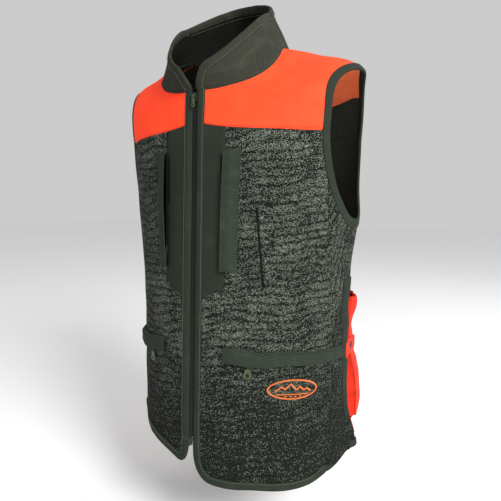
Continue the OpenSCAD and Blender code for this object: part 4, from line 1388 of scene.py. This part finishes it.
# ---- Lower pockets ----
ARC, ARC_R, ARC_TIP = (8.1, 3.6, -456), 171.4, math.radians(6)
POCKET_FROM, POCKET_TO, POCKET_REST = 24, 72, 26.5
BAIL_Z = -12


def at_arc(side, angle, local):
    """Points given outwards, round and up, at an angle round the pocket zip's arc."""
    p = np.asarray(local, float)
    a = np.radians(-90 + angle)
    x = (ARC_R + p[..., 0]) * np.cos(a) - p[..., 1] * np.sin(a)
    y = ARC[1] + (ARC_R + p[..., 0]) * np.sin(a) + p[..., 1] * np.cos(a)
    x, z = (x * math.cos(ARC_TIP) + p[..., 2] * math.sin(ARC_TIP),
            p[..., 2] * math.cos(ARC_TIP) - x * math.sin(ARC_TIP))
    return np.stack([side * (ARC[0] + x), y, ARC[2] + z], -1)


def pocket_zip(key):
    """Tape and teeth of the lower pocket, round the arc."""
    side, front = SIDES[key]
    shape = Shape()
    angle = np.linspace(POCKET_FROM, POCKET_TO, 60)[:, None]
    z = np.linspace(-5, 5, 5)[None, :]
    layer = lambda r: at_arc(side, np.broadcast_to(angle, (60, 5)), np.stack(
        np.broadcast_arrays(r, 0.0 * z + 0 * angle, z + 0 * angle), -1))
    uv = np.stack(np.broadcast_arrays(angle * DEGREE, z), -1)
    shell(shape, layer(2.9), layer(2.4), uv, (0, 0))
    step = math.degrees(2.2 / ARC_R)
    for k in range(int((POCKET_TO - POCKET_FROM) / step)):
        for s in (-1, 1):
            a = POCKET_FROM + step * (k + (0.25 if s > 0 else 0.75))
            put = lambda p, a=a: at_arc(side, a, np.stack([3.0 + p[..., 2], p[..., 0], p[..., 1]], -1))
            outline = np.array([(0.7, 1.7), (-0.7, 1.7), (-0.5, -0.5), (0.5, -0.5)]) * (1, s)
            prism(shape, outline, 0, 1.1, put, 1, 0.15)
    obj = shape.build(f"pocket_zip_{key}_chain", [ZIP_TAPE, TOOTH])
    return bend(obj, front, f"pocket_zip_{key}", slot="zip_tape")


POCKET_PULL = (18.5, 8, 12, 2.8, 1.8)


def pocket_slider(key):
    """Slider and puller of a lower pocket."""
    side, _ = SIDES[key]
    word = WORD[key]
    shape = Shape()
    put = lambda p: at_arc(side, POCKET_REST, np.stack([p[..., 2], p[..., 0], p[..., 1]], -1))
    prism(shape, rounded(10, 6, 1.6), 4.5, 5.5, put, 0, 0.3)
    for z in (-2.55, 2.55):
        prism(shape, rounded(9.6, 0.9, 0.4, 0, z), 3.3, 4.7, put, 0, 0.1)
    prism(shape, rounded(4.1, 8, 0.8, 0, BAIL_Z + 7), 5.4, 6.4, put, 0, 0.25)
    for s in (-1.65, 1.65):
        prism(shape, rounded(0.8, 4.4, 0.35, s, BAIL_Z + 1.0), 5.4, 6.6, put, 0, 0.15)
    y = np.linspace(-1.8, 1.8, 7)
    tube(shape, at_arc(side, POCKET_REST, np.stack([np.full(7, 6.0), y, np.full(7, BAIL_Z)], 1)), 0.5, 10)
    obj = shape.build(f"pocket_slider_{key}_body", [SLIDER])
    carry(obj, f"{word}_pocket_slider", f"pocket_slider_{key}", slot="slider_metal")
    shape = Shape()
    hang = lambda p: at_arc(side, POCKET_REST, np.stack([6.0 + p[..., 2], p[..., 0], BAIL_Z + p[..., 1]], -1))
    pull_tab(shape, hang, *POCKET_PULL, thick=1.8)
    obj = shape.build(f"pocket_puller_{key}_tab", [OLIVE])
    carry(obj, f"{word}_pocket_puller", f"pocket_puller_{key}", slot="puller_olive")


FLAP_LIFT = 5.2


def flap_v(t, b):
    """Where the flap runs at angle t, with b from its top to its free edge, and a slight ripple."""
    return mix(6.0, 6.225, b) + mix(0.17, 0.115, b) * (t - 17) / 64 + 0.012 * np.sin(t * 0.24)


def pocket_flap(key):
    """Band over the lower pocket's zip, sewn down along its top."""
    side, front = SIDES[key]
    a, wa = places(56, 0.012, 0.012)
    b, wb = places(12, 0.08, 0.0)
    T, B = grid(mix(16.2, 86, a), b)
    V = flap_v(T, B)
    lift = FLAP_LIFT * smooth(B, 0.0, 0.28) * (1 - 0.75 * bump(T, 86, 3)) * (1 - 0.5 * bump(T, 17.2, 1.5))
    lift = lift + 0.35 * noise(T / 7, B * 2)
    W = turned_weights(wa, wb) * (1 - smooth(B, 0.9, 1.0))
    shape = Shape()
    sheet(shape, T * side, V, 2.4 + lift, 3.9 + lift, turned=W)
    t = np.linspace(18, 85, 120)
    stitches(shape, skin(t * side, flap_v(t, 0.06), 4.15 + FLAP_LIFT * smooth(0.06, 0, 0.28)), 2)
    up = FLAP_LIFT * (1 - 0.75 * bump(t, 86, 3)) + 0.35 * noise(t / 7, np.full(120, 1.84))
    stitches(shape, skin(t * side, flap_v(t, 0.93), 4.0 + up), 2)
    obj = shape.build(f"pocket_band_{key}", [FLAP, LINING_AND_SLIT_SHADE, DARK_THREAD])
    return bend(obj, front, f"pocket_flap_{key}", slot="green_cloth")


def pocket_bag(key):
    """Mesh lining behind a lower pocket."""
    side, front = SIDES[key]
    a, b = np.linspace(0, 1, 26), np.linspace(0, 1, 30)
    T, V = grid(mix(20, 68, a), mix(6.0, 7.7, b))
    slack = 2.0 * np.sin(np.pi * a)[:, None] * np.sin(np.pi * b)[None, :]
    slack = slack + 0.6 * noise(T / 6, V * 9)
    shape = Shape()
    sheet(shape, T * side, V, -2.6 - slack, -1.2 - slack * 0.5, looks=(0, 0))
    return bend(shape.build(f"pocket_lining_{key}", [MESH]), front, f"pocket_bag_{key}", slot="pocket_mesh")


# ---- Emblem: a plain oval with a stitched hill line, on the left lower pocket ----
EMBLEM = (50.0, 6.645, 41.5, 15.0, math.radians(5.6))


def emblem():
    """Oval patch with close satin stitches."""
    t0, v0, wide, tall, tip = EMBLEM
    place = lambda x, z, d: skin(t0 + (x * math.cos(tip) + z * math.sin(tip)) / DEGREE,
                                 v0 - (z * math.cos(tip) - x * math.sin(tip)) / 100, d)
    shape = Shape()
    ring_a = np.radians(np.linspace(0, 360, 121))
    r = np.linspace(0, 1, 9)
    X = wide * r[:, None] * np.cos(ring_a)[None, :]
    Z = tall * r[:, None] * np.sin(ring_a)[None, :]
    shell(shape, place(X, Z, 2.25), place(X, Z, 1.7), np.stack([X, Z], -1), (0, 0))

    def satin(line, half):
        """Close parallel threads across a line drawn on the patch."""
        line = np.asarray(line, float)
        run = lengths(line)
        s = np.arange(0, run[-1], 0.75)
        p = np.stack([np.interp(s, run, line[:, k]) for k in (0, 1)], 1)
        ahead = unit(np.gradient(p, axis=0))
        across = np.stack([-ahead[:, 1], ahead[:, 0]], 1) + ahead * 0.3
        for q, n in zip(p, across):
            w = np.array([-1, -0.6, 0, 0.6, 1]) * half
            xz = q[None, :] + n[None, :] * w[:, None]
            d = 2.35 + 0.45 * (1 - (w / half) ** 2)
            tube(shape, place(xz[:, 0], xz[:, 1], d), 0.34, 5, 1, ends=False)

    a = np.radians(np.linspace(0, 360, 200))
    satin(np.stack([(wide - 1.2) * np.cos(a), (tall - 1.2) * np.sin(a)], 1), 1.05)
    hills = [(-29, -3), (-20, 4.5), (-14, 0.5), (-5, 8.5), (4, -0.5), (10, 4.0), (17, -1.5), (22, 1.5),
             (29, -3)]
    satin(hills, 1.0)
    satin([(-26, -7.2), (26, -7.2)], 0.8)
    for x in (-12, -4, 4, 12):
        satin([(x - 2.2, -10.2), (x + 2.2, -10.2)], 0.7)
    obj = shape.build("emblem_patch", [MELANGE, GOLD_THREAD])
    return bend(obj, "left_front", "emblem", slot="emblem_thread")


# ---- Game bag ----
BAG_FLOOR, BAG_TOP, BAG_HALF = -628, -400, 174
# A depth well inside the vest, from which the gussets are pushed outwards
VEST_MIDDLE = -20.0
# Heights, and there the depth of the bag's middle and of its side corners, pulled in where the snaps hold
BAG_LINE = np.array([
    [-398, 114, 62], [-408, 116, 71], [-420, 118, 70], [-436, 120, 60], [-450, 121, 52], [-464, 122, 57],
    [-482, 123, 60], [-505, 124, 72], [-530, 125, 90], [-556, 126, 103], [-585, 126, 108], [-608, 124, 109],
    [-620, 119, 108], [-628, 110, 104],
], float)


def bag_line(z, column):
    """Smooth depth at height z."""
    rows = BAG_LINE[::-1]
    z = np.clip(z, rows[0, 0], rows[-1, 0])
    i = np.clip(np.searchsorted(rows[:, 0], z, side="right") - 1, 0, len(rows) - 2)
    u = (z - rows[i, 0]) / (rows[i + 1, 0] - rows[i, 0])
    get = lambda k: rows[np.clip(k, 0, len(rows) - 1), column]
    return spline(get(i - 1), get(i), get(i + 1), get(i + 2), u)


def bag_surface(u, z):
    """The bag's rear: u from -1 to 1 across it."""
    middle, corner = bag_line(z, 1), bag_line(z, 2)
    cinch = smooth(108 - corner, 0, 45)
    y = mix(middle, corner, abs(u) ** mix(2.6, 4.5, cinch))
    fold = 3.2 * np.sin(u * 11 + z / 23) * bump(z, -560, 60) + 2.6 * noise(u * 7 + 3, z / 44)
    pull = 3.0 * np.sin(abs(u) * 26 + z / 9) * bump(abs(u), 0.86, 0.16) * bump(z, -482, 40)
    y = y + (fold + pull) * (1 - smooth(abs(u), 0.9, 1.0)) * smooth(z, -626, -605)
    x = u * (BAG_HALF + 1.0) - np.sign(u) * 2.0 * cinch * smooth(abs(u), 0.6, 1)
    sag = -3.0 * (1 - u**2) * smooth(z, -410, -398)
    return np.stack(np.broadcast_arrays(x, y, z + sag), -1)


def thick(points, depth):
    """Grid of points moved inwards by depth along its normals."""
    a = np.gradient(points, axis=0)
    b = np.gradient(points, axis=1)
    return points - unit(np.cross(a, b)) * depth


def grid_uv(points):
    """Lengths across and down a grid of points, in mm."""
    n, m = points.shape[:2]
    u = np.concatenate([np.zeros((1, m)), np.cumsum(np.linalg.norm(np.diff(points, axis=0), axis=2), 0)])
    w = np.concatenate([np.zeros((n, 1)), np.cumsum(np.linalg.norm(np.diff(points, axis=1), axis=2), 1)], 1)
    return np.stack([u, -w], -1)


def bag_rear():
    """The bag's rear and floor in one piece."""
    fine = 0.02 * np.arange(3)
    u = np.concatenate([-1 + fine, np.linspace(-0.93, 0.93, 84), 1 - fine[::-1]])
    z = np.linspace(BAG_TOP + 2, BAG_FLOOR + 6, 70)
    U, Z = grid(u, z)
    rear = bag_surface(U, Z)
    # The floor turns forward from the rear's foot
    foot = rear[:, -1]
    depth = np.linspace(0, 1, 22)[1:]
    inner = 6 + 92 * np.sqrt(1 - (foot[:, 0] / 190) ** 2) + 1.5
    y = mix(foot[:, 1][:, None], inner[:, None], depth[None, :])
    drop = 5.5 * (1 - (1 - np.minimum(depth * 5, 1)) ** 2)
    sag = 1.8 * np.sin(np.pi * depth)[None, :] * (1 - abs(u)[:, None] ** 6)
    x = np.broadcast_to(foot[:, 0][:, None] * 0.985, y.shape)
    floor = np.stack([x, y, foot[:, 2][:, None] - drop[None, :] - sag], -1)
    whole = np.concatenate([rear, floor], 1)
    shape = Shape()
    uv = grid_uv(whole)
    outer, inner_grid = whole, thick(whole, 1.3)
    if np.mean((outer - inner_grid)[40, :50, 1]) < 0:
        inner_grid = thick(whole, -1.3)
    shell(shape, outer, inner_grid, uv, (0, 0))
    line = bag_surface(np.linspace(-0.975, 0.975, 160), np.full(160, BAG_TOP - 13.0))
    stitches(shape, line + [0, 1.0, 0], 1)
    obj = shape.build("bag_pouch", [NYLON, ORANGE_THREAD])
    return carry(obj, "game_bag", "bag_rear_panel", "bag_bottom", slot="orange_nylon")


def bag_mouth():
    """Binding folded over the bag's mouth."""
    u = np.linspace(-0.995, 0.995, 120)
    section = [(0, 1.9), (0.5, 2.3), (4, 2.5), (8, 2.5), (11, 2.3), (11.6, 1.3), (11.6, 0), (11.4, -1.9),
               (8, -2.3), (4, -2.3), (0.5, -2.0), (-0.5, -1.2), (-0.9, 0), (-0.5, 1.2)]
    rows = []
    for drop, out in section:
        p = bag_surface(u, np.full(len(u), BAG_TOP + 2.0 - drop))
        p[:, 1] += out
        rows.append(p)
    points = np.stack(rows, 1)
    n, m = points.shape[:2]
    faces = ring_faces(n, m)
    for row, turned in ((0, True), (n - 1, False)):
        cap = row * m + np.array([(q, q + 1, m - 2 - q, m - 1 - q) for q in range(m // 2 - 1)])
        faces = np.concatenate([faces, cap[:, ::-1] if turned else cap])
    shape = Shape()
    shape.add(points, grid_uv(points), faces, 0)
    stitches(shape, points[:, 3] * 0.5 + points[:, 4] * 0.5 + [0, 0.2, 0], 1)
    obj = shape.build("bag_mouth_edge", [TAPE, THREAD])
    return carry(obj, "game_bag", "bag_mouth_binding", slot="binding_tape")


def gusset_section(z):
    """Across the bag's side at height z, from the vest round the pleat to the rear corner, as x and y."""
    corner = bag_line(z, 2)
    strip = max(corner - 26, 32)
    top = float(smooth(z, -470, -405))
    foot = float(1 - smooth(z, -605, -575))
    deep = mix(30, 16, top) * (1 - 0.55 * foot)
    middle = mix(20, strip, 0.5)
    ridge = 9 * foot
    front = mix(1, 15, foot)
    wall = 176 - deep * 0.8
    return [(179.6, front), (178.6, mix(front, 17.5, 0.5)), (176.6, 17.5), (175.4, 20), (172, 21.5),
            (wall, middle - 5), (176 - deep + ridge, middle), (wall, middle + 5), (172.5, strip - 1.5),
            (175.6, strip), (176.2, strip + 4), (176.4 + 2 * top, mix(strip, corner, 0.6)),
            (BAG_HALF + 1.0, corner - 1.5), (BAG_HALF - 1.0, corner + 0.3)]


def clear_of_vest(points, side, gap):
    """Grid of points, in rows of one height, moved out where it comes nearer the vest than gap."""
    T, V = grid(np.linspace(74, 160, 140), np.linspace(4.6, 8.6, 90))
    cloth = skin(T * side, V, gap) * [side, 1, 1]
    moved = points * [side, 1, 1]
    for row in range(points.shape[1]):
        z = points[0, row, 2]
        x = np.array([np.interp(-z, -line[:, 2], line[:, 0]) for line in cloth])
        y = np.array([np.interp(-z, -line[:, 2], line[:, 1]) for line in cloth]) - VEST_MIDDLE
        here = moved[:, row, :2] - [0, VEST_MIDDLE]
        reach = np.interp(np.arctan2(here[:, 1], here[:, 0]), np.arctan2(y, x), np.hypot(x, y))
        short = np.maximum(reach / np.hypot(here[:, 0], here[:, 1]), 1.0)
        moved[:, row, :2] = here * short[:, None] + [0, VEST_MIDDLE]
    return moved * [side, 1, 1]


def bag_gusset(key):
    """Pleated side of the bag, sewn to the vest in front and to the pouch behind."""
    side, _ = SIDES[key]
    heights = np.linspace(BAG_TOP - 2, BAG_FLOOR + 3, 76)
    rows = []
    for z in heights:
        keys = np.array(gusset_section(z))
        i = np.arange(len(keys) - 1)
        u = np.linspace(0, 1, 7)[:-1]
        get = lambda k: keys[np.clip(k, 0, len(keys) - 1)]
        pts = [spline(get(a - 1), get(a), get(a + 1), get(a + 2), w) for a in i for w in u] + [keys[-1]]
        rows.append(np.column_stack([np.array(pts), np.full(len(pts), z)]))
    points = np.stack(rows, 1)
    wobble = 1.4 * noise(points[..., 1] / 16 + 7, points[..., 2] / 30 + (3 if side > 0 else 11))
    inside = smooth(points[..., 1], 22, 30)
    points[..., 0] += wobble * inside * 1.5 - 0.6
    points = points * [side, 1, 1]
    shape = Shape()
    inner = clear_of_vest(thick(points, 1.0 * side), side, 2.2)
    points = clear_of_vest(points, side, 2.9)
    shell(shape, points, inner, grid_uv(points), (0, 0))
    front = points[9] + [0.5 * side, 0, 0]
    stitches(shape, front, 1)
    obj = shape.build(f"bag_side_{key}", [NYLON, ORANGE_THREAD])
    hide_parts("bag_gussets", "bag_side_leaves")
    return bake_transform(obj)


def bag_lining():
    """Orange wall of the bag against the vest's back."""
    a, b = np.linspace(0, 1, 90), np.linspace(0, 1, 50)
    T, V = grid(mix(103, 257, a), mix(5.35, 7.72, b))
    lift = 0.7 * noise(T / 8, V * 5) * np.sin(np.pi * b)[None, :]
    shape = Shape()
    sheet(shape, T, V, 2.0 + lift, 3.1 + lift, looks=(0, 0))
    t = np.linspace(104, 256, 120)
    stitches(shape, skin(t, np.full(120, 5.38), 3.3), 1)
    obj = shape.build("bag_front_wall", [NYLON, ORANGE_THREAD])
    return carry(obj, "back", "bag_lining", slot="orange_nylon")


# ---- Snap tabs ----
SNAP_Y, SNAP_Z, TAB_X, TAB_W = 35, -482, 177.4, 26
TAB_ROUND = 50
# Straight below the armhole, the ring at depth z mm down is z / 100 + RING_SHIFT
RING_SHIFT = 1.5


def snap_tab(key):
    """Short strap with a rounded end that holds the bag's side to the vest."""
    side, _ = SIDES[key]
    word = WORD[key]
    tip = TAB_ROUND + 7 * np.sin(np.radians(np.linspace(12, 90, 8)))
    y = np.concatenate([np.linspace(17.4, TAB_ROUND, 16), tip])
    Y, W = grid(y, np.linspace(-1, 1, 13))
    beyond = Y > TAB_ROUND
    end = np.sqrt(np.clip(1 - ((Y - TAB_ROUND) / 7.6) ** 2, 0.05, 1)) * beyond + ~beyond
    half = TAB_W / 2 * mix(1, end, 0.35)
    X = TAB_X + 1.2 + 0.5 * np.sin(np.pi * (Y - 17) / 40) - 0.5 * abs(W) ** 3
    outer = np.stack([X * side, Y, SNAP_Z + W * half], -1)
    inner = outer - [1.2 * side, 0, 0]
    shape = Shape()
    shell(shape, outer, inner, grid_uv(outer), (0, 0))
    edge = np.concatenate([outer[1:-2, 1], outer[-3, 1:-1], outer[1:-2, -2][::-1]])
    stitches(shape, edge + [0.1 * side, 0, 0], 1, pitch=2.8, length=1.9, radius=0.25)
    obj = shape.build(f"snap_tab_{key}_cloth", [NYLON, ORANGE_THREAD])
    carry(obj, f"{word}_snap_tab", f"snap_tab_{key}", slot="orange_nylon")
    snap_cap(key, word)
    # The tab's root is sewn to the side strip
    a, b = np.linspace(0, 1, 12), np.linspace(-1, 1, 9)
    T, V = grid(mix(90.5, 96.5, a), (b * 12.5 - SNAP_Z) / 100 + RING_SHIFT)
    shape = Shape()
    sheet(shape, T * side, V, 3.4, 4.5, looks=(0, 0))
    carry(shape.build(f"snap_tab_{key}_root", [NYLON]), "back", slot="orange_nylon")


def spin(shape, profile, place, look=0, sides=40):
    """Solid of revolution: profile of (radius, height) pairs, from axis to axis."""
    profile = np.asarray(profile, float)
    angle = np.arange(sides) * 2 * np.pi / sides
    r, h = profile[:, 0][:, None], profile[:, 1][:, None]
    points = np.stack(np.broadcast_arrays(r * np.cos(angle), r * np.sin(angle), h), -1)
    faces = ring_faces(len(profile), sides)
    made = place(points.reshape(-1, 3))
    shape.add(made, points[..., :2].reshape(-1, 2), outward(made, faces, len(faces) // 2), look)


def snap_cap(key, word):
    """Snap cap on the tab and the stud below it."""
    side, _ = SIDES[key]
    at = lambda x: (lambda p: np.stack([side * (x + p[..., 2]), SNAP_Y + p[..., 0], SNAP_Z + p[..., 1]], -1))
    shape = Shape()
    cap = [(0.001, 2.5), (2.6, 2.45), (4.4, 2.2), (4.9, 2.0), (5.3, 2.25), (5.9, 2.2), (6.4, 1.7), (6.4, 1.3),
           (1.9, 1.25), (1.85, -0.5), (0.001, -0.5)]
    spin(shape, cap, at(TAB_X))
    obj = shape.build(f"snap_cap_{key}_metal", [SNAP])
    carry(obj, f"{word}_snap_tab", f"snap_cap_{key}", slot="snap_metal")
    shape = Shape()
    stud = [(0.001, 1.1), (1.5, 1.1), (1.8, 0.9), (1.8, 0.7), (4.6, 0.7), (5.0, 0.4), (5.0, 0.0),
            (0.001, 0.0)]
    spin(shape, stud, at(BAG_HALF + 1.2))
    carry(shape.build(f"snap_stud_{key}", [SNAP]), "game_bag", "bag_studs", slot="snap_metal")


# ---- Hanger loop ----
def hanger_loop():
    """Loop of tape at the back of the neck."""
    shape = Shape()
    angle = np.radians(np.linspace(180, 360, 40))
    r = 18.7
    w = np.linspace(-3, 3, 6)
    line = lambda grow: np.stack([np.broadcast_to((r + grow) * np.cos(angle)[:, None], (40, 6)),
                                  43.5 + np.broadcast_to(w, (40, 6)),
                                  np.broadcast_to(-3 + (r + grow) * np.sin(angle)[:, None], (40, 6))], -1)
    outer, inner = line(0.7), line(-0.6)
    shell(shape, outer, inner, grid_uv(outer), (0, 0))
    return carry(shape.build("neck_loop", [TAPE]), "back", "hanger_loop", slot="binding_tape")


# ---- Stage ----
def stage():
    """Pale floor, soft light from the upper right front, and a camera at the photograph's angle."""
    scene = bpy.context.scene
    low = CAD_BOX[0].z - 0.12
    bpy.ops.mesh.primitive_plane_add(size=16, location=(0, 0, low))
    floor = bpy.context.object
    floor.name = "floor"
    paper = Look("floor_paper", 0.9, specular=0.1)
    grain = paper.node("TexNoise", {"Scale": 3.0, "Detail": 4.0}).outputs[0]
    paper.colour(paper.mix(grain, (0.93, 0.93, 0.93, 1), (0.97, 0.97, 0.97, 1)))
    floor.data.materials.append(paper.material)
    world = bpy.data.worlds.new("studio")
    world.use_nodes = True
    world.node_tree.nodes["Background"].inputs[0].default_value = (1, 1, 1, 1)
    world.node_tree.nodes["Background"].inputs[1].default_value = WORLD
    scene.world = world
    middle = Vector((0, 0, -0.33))
    for name, place, size, power in LIGHTS:
        lamp = bpy.data.lights.new(name, "AREA")
        lamp.shape, lamp.size, lamp.energy = "DISK", size, power
        obj = bpy.data.objects.new(name, lamp)
        obj.location = place
        obj.rotation_mode = "QUATERNION"
        obj.rotation_quaternion = (middle - Vector(place)).to_track_quat("-Z", "Y")
        scene.collection.objects.link(obj)
    camera = bpy.data.cameras.new("camera")
    camera.lens, camera.sensor_width = LENS, 36
    camera.shift_x = SHIFT_X
    obj = bpy.data.objects.new("camera", camera)
    turn, rise = math.radians(AZIMUTH), math.radians(ELEVATION)
    back = Vector((math.sin(turn) * math.cos(rise), -math.cos(turn) * math.cos(rise), math.sin(rise)))
    obj.location = middle + back * DISTANCE
    obj.rotation_mode = "QUATERNION"
    obj.rotation_quaternion = (-back).to_track_quat("-Z", "Y")
    scene.collection.objects.link(obj)
    scene.camera = obj
    scene.view_settings.view_transform = "Standard"


AZIMUTH, ELEVATION, DISTANCE = 28.5, 6.4, 0.82
LENS, SHIFT_X = 33.65, 0.007
WORLD = 0.6
LIGHTS = [
    ("key", (2.3, -1.3, 1.2), 1.2, 118),
    ("rim", (0.8, 1.8, 1.2), 1.0, 9),
]

stage()
for key in SIDES:
    front_yoke(key)
    chest_panel(key)
    front_panel(key)
    side_panel(key)
    collar_front(key)
    armhole_binding(key)
    placket(key)
    side_tape(key)
    sewing(key)
    zip_chain(key)
    chest_pocket(key)
    pocket_zip(key)
    pocket_slider(key)
    pocket_flap(key)
    pocket_bag(key)
    bag_gusset(key)
    snap_tab(key)
back_yoke()
back_panel()
back_sewing()
collar_back()
collar_bands()
hem_back()
zip_ends()
main_slider()
radio_pocket()
emblem()
bag_rear()
bag_mouth()
bag_lining()
hanger_loop()
